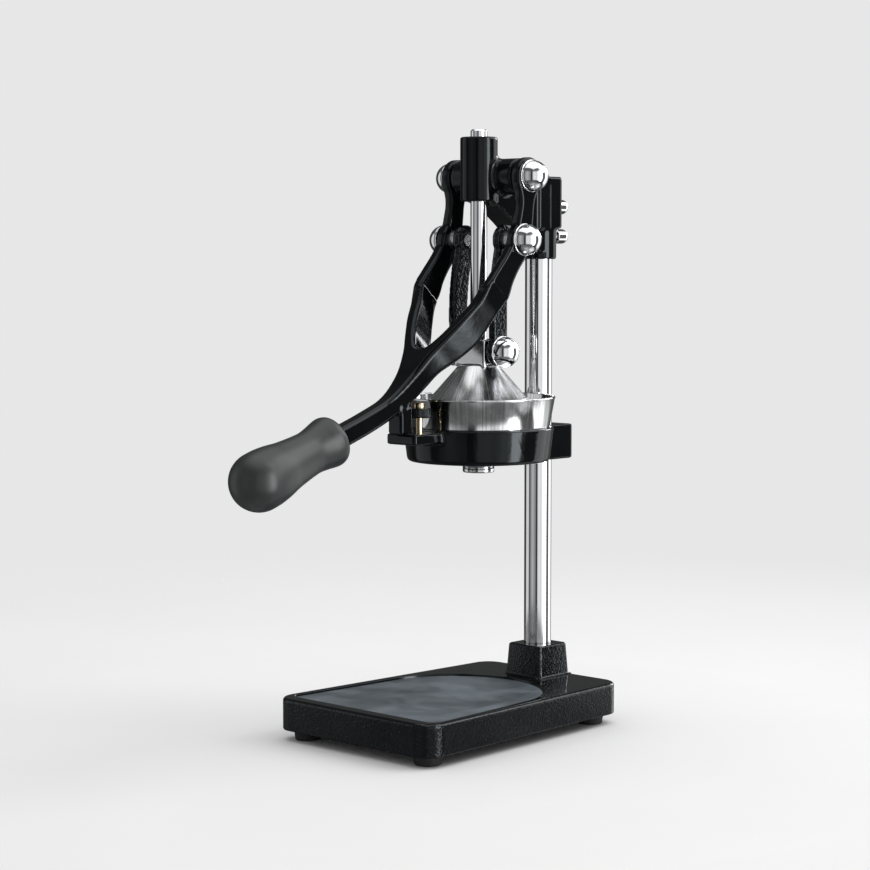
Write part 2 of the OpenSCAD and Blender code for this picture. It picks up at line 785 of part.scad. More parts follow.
// Outline of the fork's two arms, as the lever is seen from its front
module fork_plan() {
    outer = spline(fork_outer);
    inner = spline(fork_inner);
    translate([0, eye[0] + plan_start[0], eye[1] + plan_start[1]]) rotate([180 + plan_slope, 0, 0])
        linear_extrude(height = 2 * plan_len, center = true) both_sides()
            polygon(concat([for (p = outer) p], [[0, plan_len]], [for (i = [len(inner) - 1 : -1 : 0]) inner[i]]));
}

module handle_fork() {
    color(casting) placed() difference() {
        union() {
            intersection() {
                side_plate(fork_side(), -fork_out, fork_out);
                fork_plan();
            }
            both_sides() bar_x(eye, eye_r, fork_in, fork_out);
            both_sides() bar_x(upper_pin, mid_eye_r, fork_in, fork_out);
            translate([-stop_w / 2, stop_y - stop_len / 2, tongue_top_z + side_gap])
                cube([stop_w, stop_len, stop_up]);
            on_bar(-ferrule_t - 5) cylinder(r = tang_r, h = tang_len + ferrule_t + 5);
        }
        bar_x(eye, pin_r + fixed_fit, -fork_out - 1, fork_out + 1);
        bar_x(upper_pin, pin_r + fixed_fit, -fork_out - 1, fork_out + 1);
    }
}

module pivot_axle() {
    color(steel) placed() bar_x(eye, pin_r, -fork_out - cap_sink, fork_out + cap_sink);
}

module pivot_caps() {
    color(polished) placed() both_sides() dome_cap(eye, fork_out, pin_r);
}

module pivot_washers() {
    color(steel) placed() both_sides() difference() {
        bar_x(eye, washer_r, fork_in - washer_t, fork_in);
        bar_x(eye, pin_r + running_fit, 0, fork_out);
    }
}

module upper_pins() {
    color(steel) placed() both_sides() {
        bar_x(upper_pin, stud_collar_r, stud_split + side_gap / 2, fork_in);
        bar_x(upper_pin, pin_r, fork_in - eps, fork_out + cap_sink);
    }
}

module upper_caps() {
    color(polished) placed() both_sides() dome_cap(upper_pin, fork_out, pin_r);
}

module grip_ferrule() {
    color(casting) placed() on_bar(-ferrule_t) difference() {
        cylinder(r = ferrule_r, h = ferrule_t);
        translate([0, 0, -over]) cylinder(r = tang_r + fixed_fit, h = ferrule_t + 2);
    }
}

module grip() {
    flare = [
        [grip_mouth_r, 0], [grip_flare_r - 2.2, 0.8], [grip_flare_r, 5], [grip_flare_r - 0.5, 11],
        [grip_waist_r + 1.3, grip_len * 0.2], [grip_waist_r, grip_len * 0.31],
        [grip_waist_r + 0.2, grip_len * 0.4], [grip_waist_r + 1.3, grip_len * 0.53],
        [grip_waist_r + 2.8, grip_len * 0.66], [grip_end_r - 1.5, grip_len * 0.78],
        [grip_end_r - 0.2, grip_len * 0.9], [grip_end_r, grip_len]
    ];
    round_end = [for (a = [9 : 9 : 90]) [grip_end_r * cos(a), grip_len + grip_end_r * sin(a)]];
    color(rubber) placed() on_bar(0) difference() {
        rotate_extrude() polygon(concat([[0, 0]], spline(flare), round_end));
        translate([0, 0, -over]) cylinder(r = tang_r + fixed_fit, h = tang_len + 3);
    }
}

// ---------------------------------------------------------------- links

function link_point(along, across) =
    link_foot + link_dir * along + link_side * (across - link_bow * sin(180 * along / link_len));

module link_plate() {
    front = [for (i = [0 : arc_steps]) link_point(link_len * i / arc_steps, -link_w / 2)];
    back = [for (i = [arc_steps : -1 : 0]) link_point(link_len * i / arc_steps, link_w / 2)];
    difference() {
        union() {
            bar_x(link_top, link_top_r, link_in, link_out);
            bar_x(link_foot, link_foot_r, link_in, link_out);
            side_plate(concat(front, back), link_in, link_out);
        }
        bar_x(link_top, pin_r + fixed_fit, link_in - 1, link_out + 1);
        bar_x(link_foot, pin_r + running_fit, link_in - 1, link_out + 1);
    }
}

module link_right() {
    color(casting) placed() link_plate();
}

module link_left() {
    color(casting) placed() mirror([1, 0, 0]) link_plate();
}

module link_studs() {
    color(steel) placed() both_sides() {
        bar_x(link_top, pin_r, link_in, link_out + eps);
        bar_x(link_top, stud_collar_r, link_out, stud_split - side_gap / 2);
    }
}

// ---------------------------------------------------------------- ram

module crosshead() {
    color(polished) placed() difference() {
        translate([-crosshead_w / 2, -crosshead_d / 2, lobe_foot_z])
            cube([crosshead_w, crosshead_d, crosshead_top_z - lobe_foot_z]);
        translate([0, 0, cone_rim_z])
            cylinder(r1 = cone_rim_r + fixed_fit, r2 = cone_top_r + fixed_fit, h = cone_h);
        translate([0, 0, cone_rim_z]) cylinder(r = rod_r + fixed_fit, h = through);
        bar_x(link_foot, pin_r + fixed_fit, -crosshead_w, crosshead_w);
    }
}

module ram_rod() {
    color(polished) placed() difference() {
        union() {
            translate([0, 0, rod_foot_z]) cylinder(r = rod_r, h = rod_top_z - rod_chamfer - rod_foot_z);
            translate([0, 0, rod_top_z - rod_chamfer])
                cylinder(r1 = rod_r, r2 = rod_r - rod_chamfer, h = rod_chamfer);
        }
        bar_x(link_foot, pin_r + fixed_fit, -rod_d, rod_d);
        translate([0, 0, rod_foot_z - 1])
            cylinder(r = cone_screw_d / 2 + fixed_fit, h = cone_screw_top_z - rod_foot_z + 1.2);
    }
}

module lower_pin() {
    tip = link_out + side_gap + cap_sink;
    color(steel) placed() bar_x(link_foot, pin_r, -tip, tip);
}

module lower_caps() {
    color(polished) placed() both_sides() dome_cap(link_foot, link_out + side_gap, pin_r);
}

module lower_washers() {
    color(steel) placed() both_sides() difference() {
        bar_x(link_foot, washer_r, crosshead_w / 2, link_in - side_gap);
        bar_x(link_foot, pin_r + fixed_fit, 0, link_out);
    }
}

module press_cone() {
    inner_top = cone_top_z - cone_t;
    wall_in = cone_t * sqrt(1 + cone_slope * cone_slope);
    bead = [cone_rim_r - cone_bead_r / 2, cone_rim_z];
    color(polished) placed() difference() {
        rotate_extrude() polygon(concat(
            [[0, cone_top_z], [cone_top_r, cone_top_z]],
            [for (a = [40 : -20 : -180]) bead + cone_bead_r * [cos(a), sin(a)]],
            [[cone_outer(inner_top) - wall_in, inner_top], [0, inner_top]]
        ));
        translate([0, 0, cone_rim_z]) cylinder(r = cone_screw_d / 2 + 0.2, h = through);
    }
}

module cone_screw() {
    seat = cone_top_z - cone_t;
    color(steel) placed() difference() {
        union() {
            translate([0, 0, seat - cone_screw_head_h]) cylinder(r = cone_screw_head_r, h = cone_screw_head_h);
            translate([0, 0, seat - 1]) cylinder(r = cone_screw_d / 2, h = cone_screw_top_z - seat + 1);
        }
        translate([0, 0, seat - cone_screw_head_h - 1]) cylinder(r = hex_key_r, h = 3, $fn = 6);
    }
}

// ---------------------------------------------------------------- output

base();
base_mat();
feet();
foot_screws();
column();
column_bolt();
column_washer();
cup_holder();
holder_grub_screw();
juice_cup();
spout();
strainer();
reamer();
head();
guide_bushes();
cross_bushes();
head_clamp_screws();
handle_fork();
pivot_axle();
pivot_caps();
pivot_washers();
upper_pins();
upper_caps();
grip_ferrule();
grip();
link_right();
link_left();
link_studs();
crosshead();
ram_rod();
lower_pin();
lower_caps();
lower_washers();
press_cone();
cone_screw();
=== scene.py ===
"""Dressed model of a lever press for citrus fruit.

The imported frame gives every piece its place. This script gives each piece its
finished shape and surface: castings with rounded edges under gloss or hammered
enamel, chromed bars and caps, a polished cup, a spun press cone and a rubber grip.
Profiles and sizes are in millimetres; places in the scene, and the scales and
depths of finishes, are in metres.
"""
from __future__ import annotations

import logging
import math
from dataclasses import dataclass, field
from enum import Enum
from typing import Iterable, Sequence

import bmesh
import bpy
import numpy as np
import openvdb
from mathutils import Matrix, Vector

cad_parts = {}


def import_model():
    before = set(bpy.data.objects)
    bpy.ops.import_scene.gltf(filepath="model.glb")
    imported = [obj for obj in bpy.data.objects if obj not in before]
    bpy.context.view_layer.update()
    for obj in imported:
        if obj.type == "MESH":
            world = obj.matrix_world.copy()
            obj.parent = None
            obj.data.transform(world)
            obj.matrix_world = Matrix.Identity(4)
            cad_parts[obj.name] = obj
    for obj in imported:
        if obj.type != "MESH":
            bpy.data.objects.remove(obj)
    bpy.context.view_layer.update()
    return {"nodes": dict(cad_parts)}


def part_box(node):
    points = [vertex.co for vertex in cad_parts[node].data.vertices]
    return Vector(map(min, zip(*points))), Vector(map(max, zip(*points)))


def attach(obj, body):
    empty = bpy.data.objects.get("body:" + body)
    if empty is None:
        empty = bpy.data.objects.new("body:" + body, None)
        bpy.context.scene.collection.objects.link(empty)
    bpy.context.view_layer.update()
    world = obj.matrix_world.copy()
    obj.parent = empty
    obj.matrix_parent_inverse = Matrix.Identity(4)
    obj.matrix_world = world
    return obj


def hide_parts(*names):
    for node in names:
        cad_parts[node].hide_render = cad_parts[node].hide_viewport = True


LOG = logging.getLogger("citrus_press")
MM = 0.001
Point2 = tuple[float, float]
Point3 = tuple[float, float, float]
Obj = bpy.types.Object
Node = bpy.types.Node
Socket = bpy.types.NodeSocket
NodeGroup = bpy.types.GeometryNodeTree


# ------------------------------------------------------------------ node trees


class Graph:
    """Short names for building any node tree."""

    def __init__(self, tree: bpy.types.NodeTree) -> None:
        """Work on a node tree."""
        self.tree, self.nodes, self.links = tree, tree.nodes, tree.links

    def add(self, kind: str, inputs: dict[str | int, object] | None = None, **settings: object) -> Node:
        """Add a node.

        Args:
            kind: The node's type.
            inputs: A source or a value for each of its sockets, by name or index.
            settings: Its other properties.

        Returns:
            The new node.
        """
        node = self.nodes.new(kind)
        for name, value in settings.items():
            setattr(node, name, value)
        for key, value in (inputs or {}).items():
            if isinstance(value, Socket):
                self.links.new(value, node.inputs[key])
            else:
                node.inputs[key].default_value = value
        return node

    def math(self, kind: str, a: Socket | float, b: Socket | float) -> Socket:
        """Arithmetic on two values."""
        return self.add("ShaderNodeMath", {0: a, 1: b}, operation=kind).outputs[0]

    def blend(self, a: Socket, b: Socket, share: float) -> Socket:
        """Sum of two values, the first weighed by a share and the second by what is left."""
        return self.math("ADD", self.math("MULTIPLY", a, share), self.math("MULTIPLY", b, 1.0 - share))

    def span(self, value: Socket, low: float, high: float, start: float = 0.0, end: float = 1.0) -> Socket:
        """Map value from start..end to low..high, clamped."""
        return self.add("ShaderNodeMapRange", {"Value": value, "From Min": start, "From Max": end,
                                               "To Min": low, "To Max": high}).outputs["Result"]

    def ramp(self, value: Socket, stops: Sequence[tuple[float, Sequence[float]]]) -> Socket:
        """Colour ramp through the given stops.

        Args:
            value: What is mapped.
            stops: Places from 0 to 1, each with its colour.

        Returns:
            The colour.
        """
        node = self.add("ShaderNodeValToRGB", {"Fac": value})
        elements = node.color_ramp.elements
        while len(elements) < len(stops):
            elements.new(0.5)
        for element, (place, colour) in zip(elements, stops):
            element.position = place
            element.color = (*colour, 1.0)
        return node.outputs["Color"]

    def mix(self, share: Socket, first: Socket, second: Socket) -> Socket:
        """Mix of two shaders, all of the second where the share is one."""
        return self.add("ShaderNodeMixShader", {"Fac": share, 1: first, 2: second}).outputs[0]


class Tree(Graph):
    """Node tree of a material round one principled shader."""

    def __init__(self, name: str) -> None:
        """Start an empty material called name.

        Args:
            name: Name of the new material.
        """
        self.material = bpy.data.materials.new(name)
        self.material.use_nodes = True
        super().__init__(self.material.node_tree)
        self.nodes.clear()
        self.output = self.add("ShaderNodeOutputMaterial")
        self.shader = self.add("ShaderNodeBsdfPrincipled")
        self.links.new(self.shader.outputs["BSDF"], self.output.inputs["Surface"])
        self.coord = self.add("ShaderNodeTexCoord").outputs["Object"]

    def set(self, **values: object) -> None:
        """Set the shader's own sockets; an underscore in a name stands for a space."""
        for key, value in values.items():
            self.shader.inputs[key.replace("_", " ")].default_value = value

    def noise(self, vector: Socket, scale: float, detail: float = 3.0, rough: float = 0.5,
              distort: float = 0.0) -> Socket:
        """Fractal noise at a scale, read at a vector."""
        return self.add("ShaderNodeTexNoise", {"Vector": vector, "Scale": scale, "Detail": detail,
                                               "Roughness": rough, "Distortion": distort}).outputs["Fac"]

    def bump(self, height: Socket, distance: float, under: Socket | None = None) -> Socket:
        """Bumped normal from a height, over an earlier normal if one is given.

        Args:
            height: The height, from 0 to 1.
            distance: Metres that a height of 1 stands for.
            under: The earlier normal.

        Returns:
            The bumped normal.
        """
        inputs = {"Height": height, "Distance": distance, "Strength": 1.0}
        if under is not None:
            inputs["Normal"] = under
        return self.add("ShaderNodeBump", inputs).outputs["Normal"]

    def surface(self, colour: Socket, rough: Socket, normal: Socket) -> None:
        """Link the shader's colour, roughness and normal."""
        for name, value in (("Base Color", colour), ("Roughness", rough), ("Normal", normal)):
            self.links.new(value, self.shader.inputs[name])


# ------------------------------------------------------------------ finishes


@dataclass(frozen=True)
class Finish:
    """A surface finish: its record slot and the material that shows it."""

    name: str
    slot: str

    def build(self) -> bpy.types.Material:
        """Make the material, or return it if it exists.

        Returns:
            The material.
        """
        known = bpy.data.materials.get(self.name)
        if known is not None:
            return known
        tree = Tree(self.name)
        self.draw(tree)
        return tree.material

    def draw(self, tree: Tree) -> None:
        """Fill in the node tree; each kind of finish has its own way."""
        raise NotImplementedError


@dataclass(frozen=True)
class Enamel(Finish):
    """Black stoving enamel over cast iron, smooth or with a hammered skin."""

    colour: Point3 = (0.0025, 0.0028, 0.0032)
    roughness: float = 0.07
    gloss: float = 0.24
    tint: Point3 = (0.86, 0.95, 1.0)
    hammer_depth: float = 0.0
    hammer_cells: float = 430.0
    mask: str = ""
    wave_depth: float = 0.00012
    wave_scale: float = 90.0
    speck_scale: float = 1400.0
    patch_scale: float = 40.0

    def draw(self, tree: Tree) -> None:
        """Gloss coat, slow cast waviness, and hammered dimples where they are asked for.

        Args:
            tree: The material's node tree.
        """
        at = tree.coord
        tree.set(IOR=1.5, Specular_IOR_Level=self.gloss, Specular_Tint=self.tint + (1.0,))
        specks = tree.noise(at, self.speck_scale, 4.0, 0.6)
        lighter = tuple(c * 1.7 + 0.0006 for c in self.colour)
        normal = tree.bump(tree.noise(at, self.wave_scale, 2.0), self.wave_depth)
        if self.hammer_depth > 0.0:
            normal = tree.bump(self.hammered(tree), self.hammer_depth, normal)
        tree.surface(tree.ramp(tree.noise(at, self.patch_scale, 4.0), [(0.3, self.colour), (0.8, lighter)]),
                     tree.span(specks, self.roughness * 0.7, self.roughness * 1.5, 0.3, 0.7), normal)

    def hammered(self, tree: Tree) -> Socket:
        """Height of the hammered skin, from soft cells and noise, within the mask if there is one.

        Args:
            tree: The material's node tree.

        Returns:
            The height.
        """
        cells = tree.add("ShaderNodeTexVoronoi", {"Vector": tree.coord, "Scale": self.hammer_cells * 0.8,
                                                  "Smoothness": 1.0}, feature="SMOOTH_F1").outputs["Distance"]
        height = tree.math("ADD", tree.math("MULTIPLY", cells, 0.5),
                           tree.noise(tree.coord, self.hammer_cells, 1.0, 0.4))
        if not self.mask:
            return height
        flag = tree.add("ShaderNodeAttribute", attribute_name=self.mask)
        return tree.math("MULTIPLY", height, flag.outputs["Fac"])


@dataclass(frozen=True)
class Metal(Finish):
    """Bare or plated metal, with an optional grain along one axis."""

    colour: Point3 = (0.85, 0.86, 0.88)
    roughness: float = 0.05
    spread: float = 0.03
    grain: Point3 = (1.0, 1.0, 1.0)
    grain_scale: float = 900.0
    grain_depth: float = 0.000002
    smear_scale: float = 35.0
    dull: float = 0.9

    def draw(self, tree: Tree) -> None:
        """Metal with fine grain, faint smears and tiny changes of colour.

        Args:
            tree: The material's node tree.
        """
        tree.set(Metallic=1.0)
        along = tree.add("ShaderNodeMapping", {"Scale": self.grain, "Vector": tree.coord}).outputs["Vector"]
        lines = tree.noise(along, self.grain_scale, 4.0, 0.6)
        smear = tree.noise(tree.coord, self.smear_scale, 3.0, 0.5, 0.4)
        duller = tuple(c * self.dull for c in self.colour)
        both = tree.blend(lines, smear, 0.6)
        tree.surface(tree.ramp(smear, [(0.25, duller), (0.75, self.colour)]),
                     tree.span(both, self.roughness, self.roughness + self.spread, 0.3, 0.7),
                     tree.bump(lines, self.grain_depth))


@dataclass(frozen=True)
class SpunMetal(Finish):
    """Sheet metal spun or brushed round the ram's axis, or along its slope."""

    colour: Point3 = (0.78, 0.79, 0.8)
    roughness: float = 0.16
    spread: float = 0.1
    axis_y: float = 0.0852
    radial: float = 60.0
    rings: float = 60.0
    depth: float = 0.00001
    streak: float = 0.3
    smear_scale: float = 30.0

    def draw(self, tree: Tree) -> None:
        """Grain in angle and in height about the vertical axis at axis_y.

        Args:
            tree: The material's node tree.
        """
        tree.set(Metallic=1.0)
        back = (0.0, -self.axis_y, 0.0)
        centred = tree.add("ShaderNodeMapping", {"Location": back, "Vector": tree.coord}).outputs["Vector"]
        split = tree.add("ShaderNodeSeparateXYZ", {"Vector": centred}).outputs
        angle = tree.math("ARCTAN2", split["Y"], split["X"])
        polar = tree.add("ShaderNodeCombineXYZ", {
            "X": tree.math("MULTIPLY", tree.math("SINE", angle, 0.0), self.radial),
            "Y": tree.math("MULTIPLY", tree.math("COSINE", angle, 0.0), self.radial),
            "Z": tree.math("MULTIPLY", split["Z"], self.rings)}).outputs[0]
        lines = tree.noise(polar, 1.0, 4.0, 0.65)
        both = tree.blend(lines, tree.noise(centred, self.smear_scale, 3.0, 0.5, 0.5), 0.7)
        darker = tuple(c * (1.0 - self.streak) for c in self.colour)
        tree.surface(tree.ramp(both, [(0.32, darker), (0.6, self.colour)]),
                     tree.span(both, self.roughness, self.roughness + self.spread, 0.3, 0.7),
                     tree.bump(lines, self.depth))


@dataclass(frozen=True)
class Rubber(Finish):
    """Moulded rubber or vinyl with a fine skin."""

    colour: Point3 = (0.0035, 0.004, 0.0045)
    second: Point3 = (0.006, 0.0065, 0.0075)
    patch_scale: float = 60.0
    roughness: float = 0.19
    gloss: float = 0.6
    tint: Point3 = (0.76, 0.9, 1.0)
    skin_scale: float = 1800.0
    skin_depth: float = 0.00001

    def draw(self, tree: Tree) -> None:
        """Two close colours in soft patches, over a matt moulded skin.

        Args:
            tree: The material's node tree.
        """
        tree.set(Specular_IOR_Level=self.gloss, Specular_Tint=self.tint + (1.0,))
        patch = tree.noise(tree.coord, self.patch_scale, 5.0, 0.55, 0.7)
        tree.surface(tree.ramp(patch, [(0.35, self.colour), (0.68, self.second)]),
                     tree.span(patch, self.roughness * 0.85, self.roughness * 1.2, 0.3, 0.7),
                     tree.bump(tree.noise(tree.coord, self.skin_scale, 3.0, 0.6), self.skin_depth))


GLOSS_BLACK = Enamel("gloss_black_enamel", "gloss_black")
HAMMER_BLACK = Enamel("hammered_black_enamel", "hammered_black", roughness=0.08, gloss=0.42,
                      hammer_depth=0.0006)
BASE_BLACK = Enamel("base_black_enamel", "hammered_black", gloss=0.36, hammer_depth=0.00032,
                    hammer_cells=620.0, mask="hammer")
CHROME = Metal("chrome_plate", "chrome", grain_depth=0.0000005)
HARDWARE = Metal("turned_steel", "hardware", colour=(0.6, 0.61, 0.62), roughness=0.22, spread=0.15)
BLOCK_STEEL = Metal("milled_steel", "satin_steel", colour=(0.74, 0.75, 0.76), roughness=0.12, spread=0.1,
                    grain=(1.0, 1.0, 12.0), grain_scale=140.0, grain_depth=0.00001)
BRASS = Metal("stop_brass", "hardware", colour=(0.74, 0.6, 0.4), roughness=0.16, spread=0.1)
BRONZE = Metal("bush_bronze", "bronze", colour=(0.62, 0.42, 0.2), roughness=0.25, spread=0.15)
CUP_STEEL = SpunMetal("polished_cup_steel", "polished_steel", roughness=0.06, spread=0.04, depth=0.000003,
                      rings=5.0, radial=34.0, streak=0.55)
CONE_STEEL = SpunMetal("brushed_cone_steel", "satin_steel", roughness=0.17, spread=0.14, depth=0.00003,
                       rings=12.0, radial=45.0, streak=0.42)
GRIP = Rubber("grip_rubber", "grip_rubber")
FOOT = Rubber("foot_rubber", "foot_rubber", roughness=0.45)
MAT = Rubber("mottled_mat", "mat", colour=(0.065, 0.078, 0.09), second=(0.16, 0.185, 0.205), gloss=0.5,
             patch_scale=24.0, roughness=0.34, skin_scale=900.0, skin_depth=0.00003)


# ------------------------------------------------------------------ mesh tools


Basis = tuple[Vector, Vector, Vector]


class Axis(Enum):
    """Direction in which a turned piece grows."""

    X = (0.0, 0.0, 1.0, 1.0, 0.0, 0.0)
    Y = (0.0, 0.0, 1.0, 0.0, 1.0, 0.0)
    Z = (1.0, 0.0, 0.0, 0.0, 0.0, 1.0)

    def basis(self) -> Basis:
        """Return two radial directions and the growing direction."""
        radial, grow = Vector(self.value[:3]), Vector(self.value[3:])
        return radial, grow.cross(radial), grow


@dataclass(frozen=True)
class Corner:
    """A point of a profile in millimetres, with the radius that rounds it."""

    r: float
    h: float
    soft: float = 0.0


NEARLY_STRAIGHT = 176.0  # degrees; flatter corners aren't rounded
MOST_CUT = 0.46  # share of a side that one corner's rounding may use


def soften(corners: Sequence[Corner], closed: bool, steps: int = 5, hold: float = 0.25) -> list[Point2]:
    """Round the corners of a profile and hold its straight runs straight.

    Args:
        corners: The profile's corners in order.
        closed: Whether the last corner joins the first.
        steps: Facets in each rounding.
        hold: Distance in millimetres of the extra points next to a rounding.

    Returns:
        The profile's points in millimetres.
    """
    points = [Vector((c.r, c.h)) for c in corners]
    count = len(points)
    out: list[Point2] = []
    for i, corner in enumerate(corners):
        here = points[i]
        if corner.soft <= 0.0 or (not closed and i in (0, count - 1)):
            out.append(tuple(here))
            continue
        back, ahead = points[i - 1] - here, points[(i + 1) % count] - here
        room = (back.length / 2, ahead.length / 2)
        angle = back.angle(ahead, math.pi)
        if angle > math.radians(NEARLY_STRAIGHT):
            out.append(tuple(here))
            continue
        cut = min(corner.soft / math.tan(angle / 2), MOST_CUT * back.length, MOST_CUT * ahead.length)
        radius = cut * math.tan(angle / 2)
        back.normalize()
        ahead.normalize()
        centre = here + (back + ahead).normalized() * (radius / math.sin(angle / 2))
        if cut * 1.3 + hold < room[0]:
            out.append(tuple(here + back * (cut + hold)))
        first, last = here + back * cut - centre, here + ahead * cut - centre
        turn = first.angle_signed(last)
        for k in range(steps + 1):
            spin = -turn * k / steps
            out.append((centre.x + first.x * math.cos(spin) - first.y * math.sin(spin),
                        centre.y + first.x * math.sin(spin) + first.y * math.cos(spin)))
        if cut * 1.3 + hold < room[1]:
            out.append(tuple(here + ahead * (cut + hold)))
    return out


def smooth_curve(knots: Sequence[Point2], steps: int = 8) -> list[Point2]:
    """Catmull-Rom curve through all the knots.

    Args:
        knots: The points it passes through.
        steps: Pieces between two knots.

    Returns:
        The curve's points, the last knot included.
    """
    first = (2 * knots[0][0] - knots[1][0], 2 * knots[0][1] - knots[1][1])
    last = (2 * knots[-1][0] - knots[-2][0], 2 * knots[-1][1] - knots[-2][1])
    q = np.array([first, *knots, last])
    out: list[Point2] = []
    for i in range(1, len(q) - 2):
        for t in np.arange(steps) / steps:
            point = 0.5 * (2 * q[i] + (q[i + 1] - q[i - 1]) * t
                           + (2 * q[i - 1] - 5 * q[i] + 4 * q[i + 1] - q[i + 2]) * t * t
                           + (3 * q[i] - q[i - 1] - 3 * q[i + 1] + q[i + 2]) * t ** 3)
            out.append((float(point[0]), float(point[1])))
    out.append(tuple(float(v) for v in q[-2]))
    return out


def linked(name: str, data: bpy.types.ID) -> Obj:
    """Make an object of some data and link it to the scene.

    Args:
        name: Name of the new object.
        data: Its mesh, light or camera.

    Returns:
        The new object.
    """
    obj = bpy.data.objects.new(name, data)
    bpy.context.scene.collection.objects.link(obj)
    return obj


def applied(obj: Obj) -> Obj:
    """Apply an object's modifiers by swapping in its evaluated mesh.

    Args:
        obj: The object to change.

    Returns:
        The same object with no modifiers.
    """
    graph = bpy.context.evaluated_depsgraph_get()
    mesh = bpy.data.meshes.new_from_object(obj.evaluated_get(graph))
    obj.modifiers.clear()
    obj.data = mesh
    mesh.shade_smooth()
    return obj


def relaxed(obj: Obj, times: int) -> Obj:
    """Smooth a mesh a number of times.

    Args:
        obj: The object to change.
        times: Rounds of smoothing.

    Returns:
        The same object.
    """
    smooth = obj.modifiers.new("relax", "SMOOTH")
    smooth.factor = 0.5
    smooth.iterations = times
    return applied(obj)


def new_object(name: str, points: Iterable[Sequence[float]], faces: Sequence[Sequence[int]]) -> Obj:
    """Make a smooth-shaded mesh object in the scene, with its faces turned outward.

    Args:
        name: Name of the new object.
        points: Places in metres.
        faces: Indices of each face's points.

    Returns:
        The new object.
    """
    mesh = bpy.data.meshes.new(name)
    mesh.from_pydata([tuple(p) for p in points], [], [tuple(f) for f in faces])
    work = bmesh.new()
    work.from_mesh(mesh)
    bmesh.ops.recalc_face_normals(work, faces=work.faces)
    work.to_mesh(mesh)
    work.free()
    mesh.shade_smooth()
    return linked(name, mesh)


def from_arrays(name: str, points: np.ndarray, polygons: Sequence[np.ndarray]) -> Obj:
    """Make a smooth-shaded object from arrays of points and of polygons wound inward.

    Args:
        name: Name of the new object.
        points: Places in metres, one in each row.
        polygons: Arrays of indices, one polygon in each row.

    Returns:
        The new object.
    """
    mesh = bpy.data.meshes.new(name)
    mesh.vertices.add(len(points))
    mesh.vertices.foreach_set("co", points.astype(np.float32).ravel())
    loops = np.concatenate([group[:, ::-1].ravel() for group in polygons if len(group)])
    sizes = np.concatenate([np.full(len(group), group.shape[1]) for group in polygons if len(group)])
    mesh.loops.add(len(loops))
    mesh.loops.foreach_set("vertex_index", loops.astype(np.int32))
    mesh.polygons.add(len(sizes))
    mesh.polygons.foreach_set("loop_start", np.concatenate(([0], np.cumsum(sizes)[:-1])).astype(np.int32))
    mesh.update(calc_edges=True)
    mesh.validate()
    mesh.shade_smooth()
    return linked(name, mesh)


def ring_strip(low: Sequence[int], high: Sequence[int]) -> list[tuple[int, ...]]:
    """Quads between two rings with the same number of points."""
    count = len(low)
    return [(low[k], low[(k + 1) % count], high[(k + 1) % count], high[k]) for k in range(count)]


def grid_faces(rows: int, columns: int) -> list[tuple[int, ...]]:
    """Quads of a grid whose points are numbered row by row.

    Args:
        rows: Rows of points.
        columns: Quads in each row.

    Returns:
        The quads as indices.
    """
    wide = columns + 1
    firsts = [i * wide + k for i in range(rows - 1) for k in range(columns)]
    return [(a, a + 1, a + wide + 1, a + wide) for a in firsts]


@dataclass
class Shell:
    """Points and faces of a solid that is built from outlines stacked in height."""

    points: list[Point3] = field(default_factory=list)
    faces: list[tuple[int, ...]] = field(default_factory=list)
    weights: list[float] = field(default_factory=list)

    def ring(self, outline: Sequence[Point2], height: float, weight: float = 0.0) -> list[int]:
        """Add an outline at a height, all in millimetres, and return its indices.

        Args:
            outline: Its points in order.
            height: Where it lies.
            weight: Share of the hammered finish on it.

        Returns:
            The indices of its points.
        """
        first = len(self.points)
        self.points.extend((x, y, height) for x, y in outline)
        self.weights.extend([weight] * len(outline))
        return list(range(first, len(self.points)))

    def loft(self, rings: Sequence[Sequence[int]]) -> None:
        """Join rings of equal size one after another."""
        for low, high in zip(rings, rings[1:]):
            self.faces.extend(ring_strip(low, high))

    def plate(self, *loops: Sequence[int]) -> None:
        """Fill the flat area inside the first loop and outside the others.

        Args:
            loops: Indices of each loop's points.
        """
        work = bmesh.new()
        label = work.verts.layers.int.new("index")
        edges = []
        for loop in loops:
            corners = [work.verts.new(self.points[i]) for i in loop]
            for corner, i in zip(corners, loop):
                corner[label] = i
            edges.extend(work.edges.new(pair) for pair in zip(corners, corners[1:] + corners[:1]))
        result = bmesh.ops.triangle_fill(work, use_beauty=True, use_dissolve=False, edges=edges)
        for face in (g for g in result["geom"] if isinstance(g, bmesh.types.BMFace)):
            self.faces.append(tuple(v[label] for v in face.verts))
        work.free()

    def build(self, name: str, shift_y: float, label: str = "") -> Obj:
        """Make the object, moved back by shift_y millimetres; a label names the attribute for the weights.

        Args:
            name: Name of the new object.
            shift_y: How far back it is moved.
            label: Name of the attribute, if there is one.

        Returns:
            The new object.
        """
        obj = new_object(name, [(x * MM, (y + shift_y) * MM, z * MM) for x, y, z in self.points], self.faces)
        if label:
            flag = obj.data.attributes.new(label, "FLOAT", "POINT")
            flag.data.foreach_set("value", self.weights)
        return obj


def arc(centre: Sequence[float], radius: float, turns: Iterable[float]) -> list[Point2]:
    """Points at a radius about a centre, one for each turn in radians."""
    return [(centre[0] + radius * math.cos(turn), centre[1] + radius * math.sin(turn)) for turn in turns]


def bead(centre: Point2, radius: float, first: int, last: int) -> list[Point2]:
    """Round of a rolled rim, from one angle in degrees towards another in steps of 15."""
    return arc(centre, radius, (math.radians(a) for a in range(first, last, 15 if last > first else -15)))


